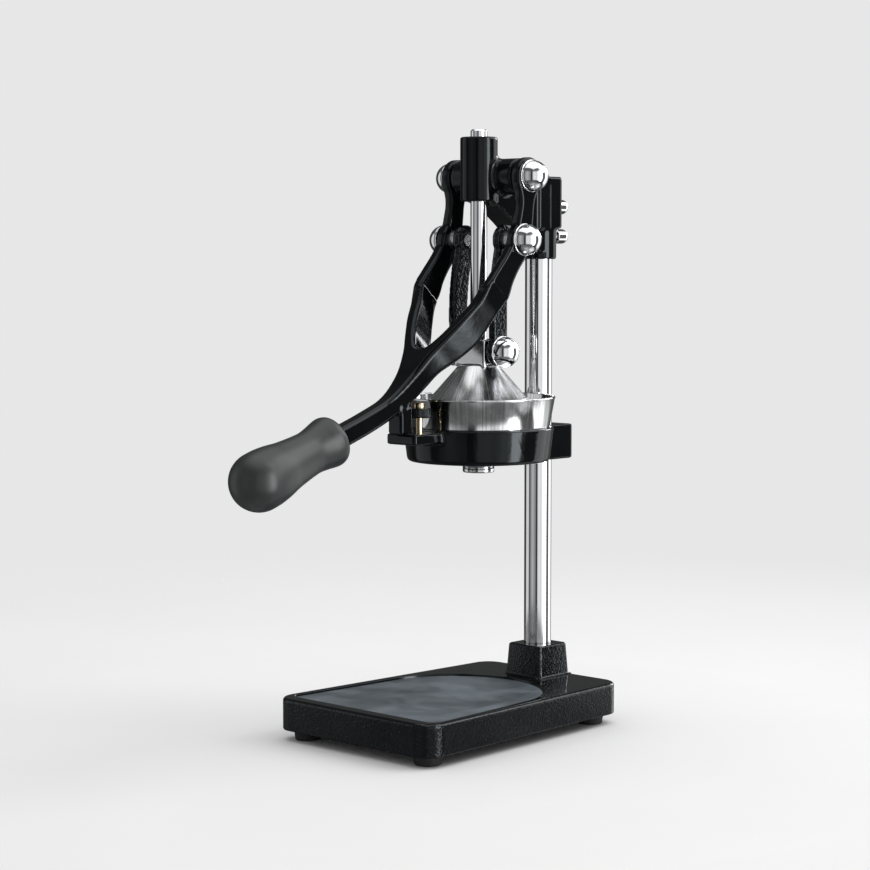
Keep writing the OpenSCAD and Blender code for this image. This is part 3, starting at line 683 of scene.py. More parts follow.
def corner_arc(before: Vector, corner: Vector, after: Vector, radius: float, steps: int) -> list[Point2]:
    """Arc that rounds one corner of an outline.

    Args:
        before: The corner before it.
        corner: The corner to round.
        after: The corner after it.
        radius: Radius of the rounding.
        steps: Facets of the rounding.

    Returns:
        The arc's points.
    """
    u, v = (corner - before).normalized(), (after - corner).normalized()
    turn = math.atan2(u.x * v.y - u.y * v.x, u.dot(v))
    normal = Vector((u.y, -u.x))
    centre = corner - u * radius * math.tan(turn / 2) - normal * radius
    start = math.atan2(normal.y, normal.x)
    return arc(centre, radius, (start + turn * k / steps for k in range(steps + 1)))


def rounded_outline(corners: Sequence[Point2], radius: float, steps: int = 14) -> list[Point2]:
    """Outline with every corner rounded.

    Args:
        corners: Corners in order.
        radius: Radius of each rounding.
        steps: Facets of each rounding.

    Returns:
        The outline's points.
    """
    points = [Vector(c) for c in corners]
    out: list[Point2] = []
    for i, point in enumerate(points):
        out.extend(corner_arc(points[i - 1], point, points[(i + 1) % len(points)], radius, steps))
    return out


def quarter(steps: int) -> list[Point3]:
    """Steps of a quarter turn: the share done, its sine, and one minus its cosine."""
    turns = [math.pi / 2 * k / steps for k in range(steps + 1)]
    return [(k / steps, math.sin(turn), 1 - math.cos(turn)) for k, turn in enumerate(turns)]


def turned(name: str, profile: Sequence[Point2], at: Sequence[float], axis: Axis | Basis, segments: int,
           closed: bool = False) -> Obj:
    """Turn a profile round an axis.

    Args:
        name: Name of the new object.
        profile: Points (radius, height) in millimetres.
        at: The axis's foot in metres.
        axis: Direction of growing height, or two radial directions and that one.
        segments: Facets round the axis.
        closed: Whether the profile is a ring, as for a tube.

    Returns:
        The new object.
    """
    side, other, grow = axis.basis() if isinstance(axis, Axis) else axis
    foot = Vector(at)
    points: list[Vector] = []
    rows: list[list[int]] = []
    for radius, height in profile:
        base = foot + grow * (height * MM)
        if radius < 1e-6:
            rows.append([len(points)])
            points.append(base)
            continue
        rows.append(list(range(len(points), len(points) + segments)))
        for k in range(segments):
            angle = 2 * math.pi * k / segments
            points.append(base + (side * math.cos(angle) + other * math.sin(angle)) * (radius * MM))
    faces: list[tuple[int, ...]] = []
    pairs = list(zip(rows, rows[1:]))
    if closed:
        pairs.append((rows[-1], rows[0]))
    for low, high in pairs:
        for k in range(segments):
            j = (k + 1) % segments
            ring = [low[k % len(low)], low[j % len(low)], high[j % len(high)], high[k % len(high)]]
            face = tuple(dict.fromkeys(ring))
            if len(face) > 2:
                faces.append(face)
    return new_object(name, points, faces)


def join(name: str, parts: Sequence[Obj]) -> Obj:
    """Join several objects into one mesh object and remove the originals.

    Args:
        name: Name of the new object.
        parts: The objects to join.

    Returns:
        The new object.
    """
    work = bmesh.new()
    for part in parts:
        work.from_mesh(part.data)
    mesh = bpy.data.meshes.new(name)
    work.to_mesh(mesh)
    work.free()
    for part in parts:
        bpy.data.objects.remove(part)
    mesh.shade_smooth()
    return linked(name, mesh)


@dataclass(frozen=True)
class Foundry:
    """Rounds a solid as sand casting does: soft outer edges, filled inner corners; radii in millimetres."""

    voxel: float
    convex: float
    concave: float = 0.0
    relax: int = 4

    def offset(self, points: np.ndarray, polygons: Sequence[np.ndarray],
               by: float) -> tuple[np.ndarray, list[np.ndarray]]:
        """Move a closed surface outward by a distance in millimetres.

        Args:
            points: Places in metres, one in each row.
            polygons: Triangles, then quads.
            by: The distance, negative for inward.

        Returns:
            The new points and polygons.
        """
        size = self.voxel * MM
        band = abs(by) / self.voxel + 3.0  # half width of the grid's band, in voxels
        grid = openvdb.FloatGrid.createLevelSetFromPolygons(
            points.astype(np.float32),
            triangles=polygons[0].astype(np.uint32) if len(polygons[0]) else None,
            quads=polygons[1].astype(np.uint32) if len(polygons[1]) else None,
            transform=openvdb.createLinearTransform(voxelSize=size), halfWidth=band)
        moved, triangles, quads = grid.convertToPolygons(isovalue=by * MM, adaptivity=0.0)
        return moved, [triangles, quads]

    def cast(self, name: str, source: Obj) -> Obj:
        """Make a rounded copy of a solid.

        Args:
            name: Name of the new object.
            source: The closed solid to copy.

        Returns:
            The rounded object.
        """
        mesh = source.data
        mesh.calc_loop_triangles()
        points = np.empty(len(mesh.vertices) * 3)
        mesh.vertices.foreach_get("co", points)
        points = points.reshape(-1, 3)
        triangles = np.empty(len(mesh.loop_triangles) * 3, dtype=np.int64)
        mesh.loop_triangles.foreach_get("vertices", triangles)
        polygons = [triangles.reshape(-1, 3), np.empty((0, 4), dtype=np.int64)]
        if self.concave > 0.0:
            points, polygons = self.offset(points, polygons, self.concave)
        points, polygons = self.offset(points, polygons, -self.concave - self.convex)
        points, polygons = self.offset(points, polygons, self.convex)
        return relaxed(from_arrays(name, points, polygons), self.relax)


@dataclass
class Field:
    """Signed distances in millimetres on a grid, negative inside, from which a smooth solid is drawn."""

    low: Point3
    high: Point3
    step: float = 0.9

    def __post_init__(self) -> None:
        """Lay out the grid, open along each axis for broadcasting."""
        axes = [np.arange(a, b, self.step, dtype=np.float32) for a, b in zip(self.low, self.high)]
        self.x, self.y, self.z = axes[0][:, None, None], axes[1][None, :, None], axes[2][None, None, :]

    @staticmethod
    def outline(points: Sequence[Point2], a: np.ndarray, b: np.ndarray) -> np.ndarray:
        """Signed distance from the places (a, b) to a closed outline.

        Args:
            points: Corners of the outline.
            a: First coordinates of the places.
            b: Second coordinates of the places.

        Returns:
            The distances, negative inside.
        """
        a, b = np.broadcast_arrays(a, b)
        near = np.full(a.shape, np.inf, dtype=np.float32)
        inside = np.zeros(a.shape, dtype=bool)
        for (x0, y0), (x1, y1) in zip(points, list(points[1:]) + [points[0]]):
            dx, dy = x1 - x0, y1 - y0
            length = dx * dx + dy * dy
            if length < 1e-9:
                continue
            t = np.clip(((a - x0) * dx + (b - y0) * dy) / length, 0.0, 1.0)
            near = np.minimum(near, (a - x0 - t * dx) ** 2 + (b - y0 - t * dy) ** 2)
            if dy:
                crosses = ((y0 > b) != (y1 > b)) & (a < dx * (b - y0) / dy + x0)
                inside ^= crosses
        return np.where(inside, -np.sqrt(near), np.sqrt(near)).astype(np.float32)

    @staticmethod
    def meet(a: np.ndarray, b: np.ndarray, radius: np.ndarray | float) -> np.ndarray:
        """Intersection of two solids with its edge rounded."""
        u, v = a + radius, b + radius
        return np.minimum(np.maximum(u, v), 0.0) + np.hypot(np.maximum(u, 0.0), np.maximum(v, 0.0)) - radius

    @staticmethod
    def weld(a: np.ndarray, b: np.ndarray, fillet: float) -> np.ndarray:
        """Union of two solids with a fillet between them."""
        share = np.clip(0.5 + 0.5 * (b - a) / fillet, 0.0, 1.0)
        return b + (a - b) * share - fillet * share * (1.0 - share)

    def box(self, low: Sequence[float], high: Sequence[float], radius: float) -> np.ndarray:
        """Rounded block between two corners.

        Args:
            low: The lower corner.
            high: The upper corner.
            radius: Radius of all edges.

        Returns:
            The distances, negative inside.
        """
        reach = [np.abs(grid - (a + b) / 2) - (b - a) / 2 + radius
                 for grid, a, b in zip((self.x, self.y, self.z), low, high)]
        outer = np.sqrt(sum(np.maximum(r, 0.0) ** 2 for r in reach))
        return outer + np.minimum(np.maximum(np.maximum(reach[0], reach[1]), reach[2]), 0.0) - radius

    def draw(self, name: str, values: np.ndarray, shift: float) -> Obj:
        """Make the object whose surface is the field's zero, moved back by shift millimetres.

        Args:
            name: Name of the new object.
            values: Distances, negative inside.
            shift: How far back it is moved.

        Returns:
            The new object.
        """
        grid = openvdb.FloatGrid(1000.0)  # the distance beyond the array
        grid.copyFromArray(np.ascontiguousarray(values, dtype=np.float32))
        grid.transform = openvdb.createLinearTransform(voxelSize=self.step)
        points, triangles, quads = grid.convertToPolygons(isovalue=0.0, adaptivity=0.0)
        return from_arrays(name, (points + np.array(self.low) + (0.0, shift, 0.0)) * MM, [triangles, quads])


def crease(obj: Obj, degrees: float) -> None:
    """Weld a mesh and keep the edges sharp that turn by more than an angle.

    Args:
        obj: The object to change.
        degrees: The angle.
    """
    work = bmesh.new()
    work.from_mesh(obj.data)
    bmesh.ops.remove_doubles(work, verts=work.verts, dist=0.00002)
    bmesh.ops.recalc_face_normals(work, faces=work.faces)
    for edge in work.edges:
        edge.smooth = len(edge.link_faces) == 2 and edge.calc_face_angle(0.0) < math.radians(degrees)
    work.to_mesh(obj.data)
    work.free()


# ------------------------------------------------------------------ geometry nodes


class Copies(Graph):
    """A geometry-node group that repeats one piece."""

    def __init__(self, name: str, **sockets: str) -> None:
        """Start a group with a geometry output and the named inputs.

        Args:
            name: Name of the new group.
            sockets: Kind of each input.
        """
        super().__init__(bpy.data.node_groups.new(name, "GeometryNodeTree"))
        self.tree.interface.new_socket("Geometry", in_out="OUTPUT", socket_type="NodeSocketGeometry")
        for label, kind in sockets.items():
            self.tree.interface.new_socket(label, in_out="INPUT", socket_type="NodeSocket" + kind)
        self.given = self.add("NodeGroupInput").outputs

    def finish(self, points: Socket, piece: Socket, angle: Socket, weld: float = 0.0) -> NodeGroup:
        """End the group: copies at the points, turned about Z, realised, welded if asked for, and painted.

        Args:
            points: Where the copies go.
            piece: What is copied.
            angle: Turn of each copy in radians.
            weld: Distance in metres within which vertices are merged.

        Returns:
            The finished group.
        """
        turn = self.add("ShaderNodeCombineXYZ", {"Z": angle}).outputs[0]
        last = self.add("GeometryNodeInstanceOnPoints", {
            "Points": points, "Instance": piece, "Rotation": turn}).outputs["Instances"]
        last = self.add("GeometryNodeRealizeInstances", {"Geometry": last}).outputs["Geometry"]
        if weld:
            last = self.add("GeometryNodeMergeByDistance", {
                "Geometry": last, "Distance": weld}).outputs["Geometry"]
        last = self.add("GeometryNodeSetMaterial", {
            "Geometry": last, "Material": self.given["Material"]}).outputs["Geometry"]
        self.add("NodeGroupOutput", {"Geometry": last})
        return self.tree

    @classmethod
    def around(cls) -> NodeGroup:
        """Copies of a sector, turned evenly round a vertical axis at the origin of the sector.

        Returns:
            The group, made once.
        """
        name = "copies_around"
        if name in bpy.data.node_groups:
            return bpy.data.node_groups[name]
        group = cls(name, Sector="Geometry", Count="Int", Centre="Vector", Material="Material")
        given = group.given
        points = group.add("GeometryNodePoints", {"Count": given["Count"], "Position": given["Centre"]})
        angle = group.math("MULTIPLY", group.add("GeometryNodeInputIndex").outputs[0],
                           group.math("DIVIDE", 2 * math.pi, given["Count"]))
        return group.finish(points.outputs["Points"], given["Sector"], angle, 0.00001)

    @classmethod
    def at_marks(cls) -> NodeGroup:
        """Copies of a piece at each vertex of a marker mesh, turned by the marker's angle.

        Returns:
            The group, made once.
        """
        name = "copies_at_marks"
        if name in bpy.data.node_groups:
            return bpy.data.node_groups[name]
        group = cls(name, Marks="Geometry", Piece="Object", Material="Material")
        info = group.add("GeometryNodeObjectInfo", {"Object": group.given["Piece"]})
        angle = group.add("GeometryNodeInputNamedAttribute", {"Name": "turn"}, data_type="FLOAT")
        return group.finish(group.given["Marks"], info.outputs["Geometry"], angle.outputs["Attribute"])

    @staticmethod
    def run(obj: Obj, tree: NodeGroup, finish: Finish, **values: object) -> Obj:
        """Evaluate a group on an object and keep the plain mesh.

        Args:
            obj: The object that carries the group's first input.
            tree: The group.
            finish: What the copies are painted with.
            values: The other inputs by name.

        Returns:
            The same object with its new mesh.
        """
        modifier = obj.modifiers.new("copies", "NODES")
        modifier.node_group = tree
        values["Material"] = finish.build()
        for item in tree.interface.items_tree:
            if item.in_out == "INPUT" and item.name in values:
                modifier[item.identifier] = values[item.name]
        return applied(obj)


def ringed(sector: Obj, count: int, centre: Sequence[float], finish: Finish) -> Obj:
    """A full ring from one sector, round a vertical axis through centre."""
    return Copies.run(sector, Copies.around(), finish, Count=count, Centre=tuple(centre))


def copied(name: str, piece: Obj, finish: Finish, places: Sequence[Sequence[float]],
           turns: Sequence[float] = ()) -> Obj:
    """Copies of a piece, which is itself removed.

    Args:
        name: Name of the new object.
        piece: What is copied.
        finish: What the copies are painted with.
        places: One place in metres for each copy.
        turns: Each copy's turn about Z in radians, if they are turned.

    Returns:
        All copies as one object.
    """
    mesh = bpy.data.meshes.new(name)
    mesh.from_pydata([tuple(p) for p in places], [], [])
    flag = mesh.attributes.new("turn", "FLOAT", "POINT")
    flag.data.foreach_set("value", list(turns) or [0.0] * len(places))
    copies = Copies.run(linked(name, mesh), Copies.at_marks(), finish, Piece=piece)
    bpy.data.objects.remove(piece)
    return copies


# ------------------------------------------------------------------ the machine


class Body(Enum):
    """Moving bodies of the frame."""

    STAND = "stand"
    LEVER = "lever"
    LINKS = "links"
    RAM = "ram"


@dataclass
class Dresser:
    """Common work of every sub-assembly: finishing a piece and tying it to its body."""

    body = Body.STAND
    nodes: dict[str, Obj]

    @property
    def shift(self) -> float:
        """Distance in millimetres from the frame's origin back to the ram's axis."""
        return self.middle("ram_rod").y / MM

    def at(self, x: float, y: float, z: float) -> Point3:
        """Point in metres from millimetres measured from the ram's axis."""
        return (x * MM, (y + self.shift) * MM, z * MM)

    def middle(self, node: str) -> Vector:
        """Middle of a node's box."""
        low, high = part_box(node)
        return (Vector(low) + Vector(high)) / 2

    def tie(self, obj: Obj, finish: Finish, *replaced: str) -> None:
        """Give a piece its finish, make it ride and let it stand for its nodes.

        Args:
            obj: The piece.
            finish: What it is finished with.
            replaced: Names of the nodes it stands for.
        """
        obj.data.materials.clear()
        obj.data.materials.append(finish.build())
        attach(obj, self.body.value)
        if replaced:
            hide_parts(*replaced)
        LOG.info("%s: %d faces, %s", obj.name, len(obj.data.polygons), finish.name)

    def coat(self, finish: Finish, *names: str) -> None:
        """Give carried-over nodes a finish.

        Args:
            finish: What they are finished with.
            names: The nodes' names.
        """
        for name in names:
            mesh = self.nodes[name].data
            mesh.materials.clear()
            mesh.materials.append(finish.build())
            LOG.info("%s: kept, %s", name, finish.name)


@dataclass
class Base(Dresser):
    """Cast base with its socket, mat and feet; lengths in millimetres."""

    foot_z: float = 9.4
    top_z: float = 38.0
    front: float = 163.3
    rear: float = 104.3
    front_w: float = 190.0
    rear_w: float = 164.0
    corner_r: float = 18.5
    edge_r: float = 3.2
    wall: float = 7.0
    plate_z: float = 28.0
    recess_z: float = 34.5
    recess_front: float = 150.0
    recess_w: float = 176.0
    recess_r: float = 80.0
    recess_centre: float = 32.0
    recess_corner: float = 9.0
    socket_w: float = 42.3
    socket_top_w: float = 39.1
    socket_h: float = 29.2
    socket_corner: float = 3.6
    socket_fillet: float = 2.8
    socket_round: float = 1.9
    column_y: float = 81.6
    column_r: float = 12.5
    pad_r: float = 13.6
    pad_h: float = 19.0
    boss_bore: float = 13.1
    boss_r: float = 20.0
    boss_h: float = 10.4
    boss_z: float = 18.0
    mat_t: float = 1.5
    foot_profile: tuple[Corner, ...] = (
        Corner(0, 1.4), Corner(4.6, 1.4, 0.3), Corner(4.6, 0.0, 0.4), Corner(11.3, 0.0, 0.8),
        Corner(12.3, 8.6, 0.5), Corner(12.5, 9.4, 0.2), Corner(0, 9.4))

    def build(self) -> None:
        """Make every piece of the base."""
        self.casting()
        self.mat()
        self.feet()
        self.coat(HARDWARE, "foot_screws", "column_bolt", "column_washer")

    def outline(self, inset: float) -> list[Point2]:
        """Outline of the base drawn in by an inset.

        Args:
            inset: How far in, negative for outward.

        Returns:
            The outline's points.
        """
        slope = (self.front_w - self.rear_w) / 2 / (self.front + self.rear)
        widen = inset * math.hypot(1.0, slope)

        def half(y: float) -> float:
            """Half width at a depth."""
            return self.rear_w / 2 + slope * (self.rear - y) - widen

        low, high = inset - self.front, self.rear - inset
        return rounded_outline([(-half(low), low), (half(low), low), (half(high), high), (-half(high), high)],
                               max(self.corner_r - inset, 1.0))

    def recess(self, inset: float) -> list[Point2]:
        """D-shaped outline of the mat's recess drawn in by an inset.

        Args:
            inset: How far in, negative for outward.

        Returns:
            The outline's points.
        """
        low, half, r = inset - self.recess_front, self.recess_w / 2 - inset, self.recess_r - inset
        left, right = Vector((-half, low)), Vector((half, low))
        back = arc((0.0, -self.recess_centre), r, np.linspace(0, math.pi, 61))
        corner = self.recess_corner - inset
        return (corner_arc(Vector(back[-1]), left, right, corner, 8)
                + corner_arc(left, right, Vector(back[0]), corner, 8) + back)

    def square(self, half: float, corner: float) -> list[Point2]:
        """Rounded square round the column."""
        low, high = self.column_y - half, self.column_y + half
        return rounded_outline([(-half, low), (half, low), (half, high), (-half, high)], corner, 8)

    def casting(self) -> None:
        """Loft the outer wall, recess, socket and hollow underside as one closed shell."""
        shell = Shell()
        top, edge, wall, low = self.top_z, self.edge_r, self.wall, self.foot_z
        sides = [(wall, self.plate_z, 0.0), (wall, low + 1.0, 0.0), (wall - 0.7, low, 0.4), (1.2, low, 0.8),
                 (0.35, low + 0.35, 1.0), (0.0, low + 1.2, 1.0), (0.0, low + 2.0, 1.0),
                 (0.0, top - edge - 0.6, 1.0)]
        for share, rise, fall in quarter(8):
            sides.append((edge * fall, top - edge + edge * rise, 1.0 - 0.85 * share))
        sides.append((edge + 0.5, top, 0.0))
        rings = [shell.ring(self.outline(inset), z, hammered) for inset, z, hammered in sides]
        shell.loft(rings)
        lip = [(-1.6, top), (-1.0, top), (-0.6, top - 0.08), (-0.25, top - 0.3), (-0.05, top - 0.65),
               (0.0, top - 1.1), (0.0, self.recess_z + 0.4), (0.4, self.recess_z)]
        hole = [shell.ring(self.recess(inset), z) for inset, z in lip]
        shell.loft(hole)
        shell.plate(hole[-1])
        stack = [shell.ring(self.square(half, self.socket_corner + grow), z, hammered)
                 for half, z, grow, hammered in self.socket()]
        shell.loft(stack)
        shell.plate(rings[-1], hole[0], stack[0])
        end = top + self.socket_h
        full = [2 * math.pi * k / 64 for k in range(64)]
        bore = [shell.ring(arc((0.0, self.column_y), self.column_r + gap, full), end - depth, 0.3)
                for gap, depth in ((0.9, 0.0), (0.5, 0.1), (0.15, 0.5), (0.1, 1.5), (0.1, 8.0))]
        shell.loft(bore)
        shell.plate(bore[-1])
        shell.plate(stack[-1], bore[0])
        shell.plate(rings[0])
        casting = shell.build("base_shell", self.shift, "hammer")
        self.tie(join("base_casting", [casting] + self.bosses()), BASE_BLACK, "base")

    def socket(self) -> list[tuple[float, float, float, float]]:
        """Rings of the column's socket: half width, height, growth of the corners, share of the hammering.

        Returns:
            The rings from the bottom upward.
        """
        low, high = self.socket_w / 2, self.socket_top_w / 2
        top, end = self.top_z, self.top_z + self.socket_h
        fillet, soft = self.socket_fillet, self.socket_round
        walls = [(low + 3.4, top, 3.4, 0.0), (low + fillet, top, fillet, 0.1)]
        for share, rise, fall in quarter(6)[1:]:
            grow = fillet * (1 - rise)
            walls.append((low + grow, top + fillet * fall, grow, 0.2 + 0.8 * share))
        walls.append((high + 0.12, end - 2.2, 0.0, 1.0))
        for share, rise, fall in quarter(6):
            cut = soft * fall
            walls.append((high - cut, end - soft + soft * rise, -cut * 0.8, 1.0 - 0.4 * share))
        return walls + [(high - 2.4, end, -soft, 0.6)]

    def corners(self, height: float) -> list[Point3]:
        """The four screws' places in metres, at a height in millimetres.

        Args:
            height: The height.

        Returns:
            The four places.
        """
        screws = self.nodes["foot_screws"].data.vertices
        places = []
        for side in (-1, 1):
            for back in (False, True):
                group = [v.co for v in screws if v.co.x * side > 0 and (v.co.y > 0) == back]
                x, y = ((min(c[i] for c in group) + max(c[i] for c in group)) / 2 for i in (0, 1))
                places.append((x, y, height * MM))
        return places

    def bosses(self) -> list[Obj]:
        """Foot pads and the column's boss on the underside.

        Returns:
            The new objects.
        """
        pad = soften((Corner(0, 0), Corner(self.pad_r, 0, 0.8), Corner(self.pad_r, self.pad_h, 0.2),
                      Corner(0, self.pad_h)), False)
        boss = soften((Corner(self.boss_bore, 0, 0.6), Corner(self.boss_r, 0, 1.2),
                       Corner(self.boss_r, self.boss_h), Corner(self.boss_bore, self.boss_h)), True)
        return [turned("pad", pad, place, Axis.Z, 48) for place in self.corners(self.foot_z)] + [
            turned("boss", boss, self.at(0, self.column_y, self.boss_z), Axis.Z, 64, True)]

    def mat(self) -> None:
        """Thin mat in the recess, with soft edges."""
        shell = Shell()
        z = self.recess_z
        top = z + self.mat_t
        rings = [shell.ring(self.recess(inset), h) for inset, h in (
            (0.9, z), (0.45, z + 0.05), (0.35, z + 0.3), (0.35, top - 0.5), (0.5, top - 0.15), (0.85, top),
            (1.6, top))]
        shell.loft(rings)
        shell.plate(rings[0])
        shell.plate(rings[-1])
        self.tie(shell.build("base_mat_sheet", self.shift), MAT, "base_mat")

    def feet(self) -> None:
        """Four turned rubber feet, copied by geometry nodes."""
        foot = turned("foot_piece", soften(self.foot_profile, False), (0, 0, 0), Axis.Z, 64)
        self.tie(copied("rubber_feet", foot, FOOT, self.corners(0.0)), FOOT, "feet")


@dataclass
class Column(Dresser):
    """Chromed column bar."""

    radius: float = 12.5
    chamfer: float = 1.2

    def build(self) -> None:
        """Turn the bar."""
        low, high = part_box("column")
        middle = self.middle("column")
        length = (high[2] - low[2]) / MM
        r, edge = self.radius, self.chamfer
        corners = (Corner(0, 0), Corner(r, 0, edge), Corner(r, length, edge), Corner(0, length))
        profile = soften(corners, False)
        bar = turned("column_bar", profile, (middle.x, middle.y, low[2]), Axis.Z, 144)
        self.tie(bar, CHROME, "column")


@dataclass
class Holder(Dresser):
    """Cast ring that carries the cup, with its tongue, clamp block and stop screw; lengths in millimetres."""

    foundry: Foundry = Foundry(0.8, 1.4, 2.0, 5)
    screw_at: Point2 = (4.0, -80.6)
    screw_foot: float = 270.0
    stem_r: float = 3.0
    stem_h: float = 28.0
    threads: int = 12
    thread_depth: float = 0.45
    knob_r: float = 10.1
    knob_low: float = 14.6
    knob_h: float = 8.4
    knurls: int = 40
    knurl_depth: float = 0.32

    def build(self) -> None:
        """Cast the holder and make its stop screw."""
        casting = self.foundry.cast("holder_casting", self.nodes["cup_holder"])
        self.tie(casting, GLOSS_BLACK, "cup_holder")
        self.coat(HARDWARE, "holder_grub_screw")
        foot = self.at(*self.screw_at, self.screw_foot)
        r, top = self.stem_r, self.stem_h
        stem = [(0.0, -0.5), (r, -0.5), (r, 1.0)]
        for k in range(self.threads):
            stem.extend([(r, 1.2 + k), (r - self.thread_depth, 1.2 + (k + 0.5))])  # pitch 1 mm
        stem.extend([(r, self.knob_low), (r, top - 5.4), (4.6, top - 5.2), (4.7, top - 4.9), (4.7, top - 1.6),
                     (4.2, top - 0.6), (3.0, top - 0.1), (0.0, top)])
        self.tie(turned("stop_screw_stem", stem, foot, Axis.Z, 48), BRASS)
        self.tie(self.knob(foot), GLOSS_BLACK)

    def knob(self, foot: Sequence[float]) -> Obj:
        """Knurled nut of the stop screw, one knurl repeated by geometry nodes.

        Args:
            foot: The stop screw's foot in metres.

        Returns:
            The nut.
        """
        half, steps = math.pi / self.knurls, 6
        bore, r, low, high = self.stem_r - 0.2, self.knob_r, self.knob_low, self.knob_low + self.knob_h
        rows = [(bore, low), (r - 1.6, low), (r - 0.6, low + 0.25), (r - 0.1, low + 1.0), (r, low + 1.3),
                (r, high - 1.3), (r - 0.1, high - 1.0), (r - 0.6, high - 0.25), (r - 1.6, high), (bore, high)]
        points = []
        for row, h in rows:
            for k in range(steps + 1):
                a = -half + 2 * half * k / steps
                dip = self.knurl_depth * (0.5 - 0.5 * math.cos(math.pi * a / half)) if row > r - 0.3 else 0.0
                points.append(((row - dip) * math.cos(a) * MM, (row - dip) * math.sin(a) * MM, h * MM))
        faces = grid_faces(len(rows), steps)
        last = (len(rows) - 1) * (steps + 1)
        faces.extend((last + k, last + k + 1, k + 1, k) for k in range(steps))
        nut = ringed(new_object("stop_screw_knob", points, faces), self.knurls, foot, GLOSS_BLACK)
        crease(nut, 50.0)
        return nut


@dataclass
class Cup(Dresser):
    """Pressed cup with its spout, strainer and reamer; lengths in millimetres."""

    sheet: float = 1.2
    rim_r: float = 68.8
    rim_z: float = 300.0
    bead_r: float = 1.1
    ring_z: float = 273.0
    ring_r: float = 63.7
    seat_z: float = 245.0
    seat_r: float = 50.6
    step_r: float = 58.2
    wall_r: float = 60.0
    foot_z: float = 239.5
    spout_r: float = 14.2
    spout_end: float = 231.5
    strainer_z: float = 270.0
    strainer_r: float = 62.0
    row_r: float = 43.6
    hub_r: float = 27.0
    outer_slots: int = 30
    outer_slot: Point2 = (46.0, 57.0)
    inner_slots: int = 18
    inner_slot: Point2 = (30.0, 41.0)
    slot_w: float = 2.6
    ribs: int = 12
    rib_out: float = 2.6
    reamer_r: float = 30.0
    reamer_h: float = 44.0
    tip_r: float = 1.2
    flank: float = 0.62
    row_spread: float = 1.15
    rib_end: float = 1.08
    valley: float = 0.55
    stem_r: float = 5.9
    stem_foot: float = -7.2

    def build(self) -> None:
        """Make every piece of the cup."""
        self.cup()
        self.spout()
        self.strainer()
        self.reamer()

    def cup(self) -> None:
        """Turn the cup with its rolled rim."""
        t, middle = self.sheet, (self.rim_r - self.bead_r, self.rim_z - self.bead_r)
        outer = soften((
            Corner(self.spout_r - t, self.foot_z), Corner(self.spout_r + 2, self.foot_z, 1.0),
            Corner(self.seat_r, self.seat_z, 3.0), Corner(self.step_r, self.seat_z, 1.5),
            Corner(self.wall_r + 0.1, self.seat_z + 2.4, 2.5), Corner(self.ring_r, self.ring_z),
            Corner(middle[0] + 0.55, middle[1] - 1.0)), False)
        roll = bead(middle, self.bead_r, -50, 181)
        inner = soften((
            Corner(self.ring_r - t, self.ring_z),
            Corner(self.wall_r - t, self.seat_z + 3.4, 1.5), Corner(self.step_r - 0.6, self.seat_z + t, 1.0),
            Corner(self.seat_r, self.seat_z + t, 3.0), Corner(self.spout_r + 2, self.foot_z + t, 1.0),
            Corner(self.spout_r - t, self.foot_z + t)), False)
        cup = turned("cup_shell", outer + roll + inner, self.at(0, 0, 0), Axis.Z, 180, True)
        self.tie(cup, CUP_STEEL, "juice_cup")

    def spout(self) -> None:
        """Turn the short spout with its drawn-in lip."""
        r, t, end, top = self.spout_r, self.sheet, self.spout_end, self.foot_z
        lip = r - 3.2
        profile = soften((
            Corner(r, top), Corner(r, end, 2.6), Corner(lip, end, 0.4), Corner(lip, end + t, 0.3),
            Corner(r - t, end + t, 1.4), Corner(r - t, top)), True)
        self.tie(turned("spout_tube", profile, self.at(0, 0, 0), Axis.Z, 96, True), CUP_STEEL, "spout")

    def sector(self, name: str, count: int, steps: int, radii: Point2, slot: Point2) -> Obj:
        """Sector of a slotted plate, open along its two radial sides.

        Args:
            name: Name of the sector's object.
            count: Sectors in the full circle.
            steps: Facets of its arcs.
            radii: Inner and outer radius.
            slot: Radii between which the slot lies.

        Returns:
            The sector, on an axis through the origin.
        """
        half = math.pi / count
        angles = np.linspace(-half, half, steps + 1)
        outline = arc((0.0, 0.0), radii[1], angles) + arc((0.0, 0.0), radii[0], angles[::-1])
        w = self.slot_w / 2
        hole = rounded_outline([(slot[0], -w), (slot[1], -w), (slot[1], w), (slot[0], w)], w * 0.96, 5)
        shell = Shell()
        lips, rims = [], []
        for z in (0.0, self.sheet):
            lips.append(shell.ring(hole, z))
            rims.append(shell.ring(outline, z))
            shell.plate(rims[-1], lips[-1])
        shell.loft(lips)
        low, high = rims
        for first in (0, len(angles)):
            for k in range(first, first + steps):
                shell.faces.append((low[k], low[k + 1], high[k + 1], high[k]))
        return shell.build(name, 0.0)

    def strainer(self) -> None:
        """Perforated plate from two rows of slotted sectors and a hub."""
        at = self.at(0, 0, self.strainer_z)
        low, mid, t = self.hub_r, self.row_r, self.sheet
        outer = self.sector("outer_sector", self.outer_slots, 3, (mid, self.strainer_r), self.outer_slot)
        outer = ringed(outer, self.outer_slots, at, CUP_STEEL)
        inner = self.sector("inner_sector", self.inner_slots, 5, (low, mid), self.inner_slot)
        inner = ringed(inner, self.inner_slots, at, CUP_STEEL)
        bore = self.stem_r
        hub = turned("hub", [(bore, 0.0), (low, 0.0), (low, t), (bore, t)], at, Axis.Z, 90, True)
        plate = join("strainer_plate", [outer, inner, hub])
        crease(plate, 35.0)
        self.tie(plate, CUP_STEEL, "strainer")

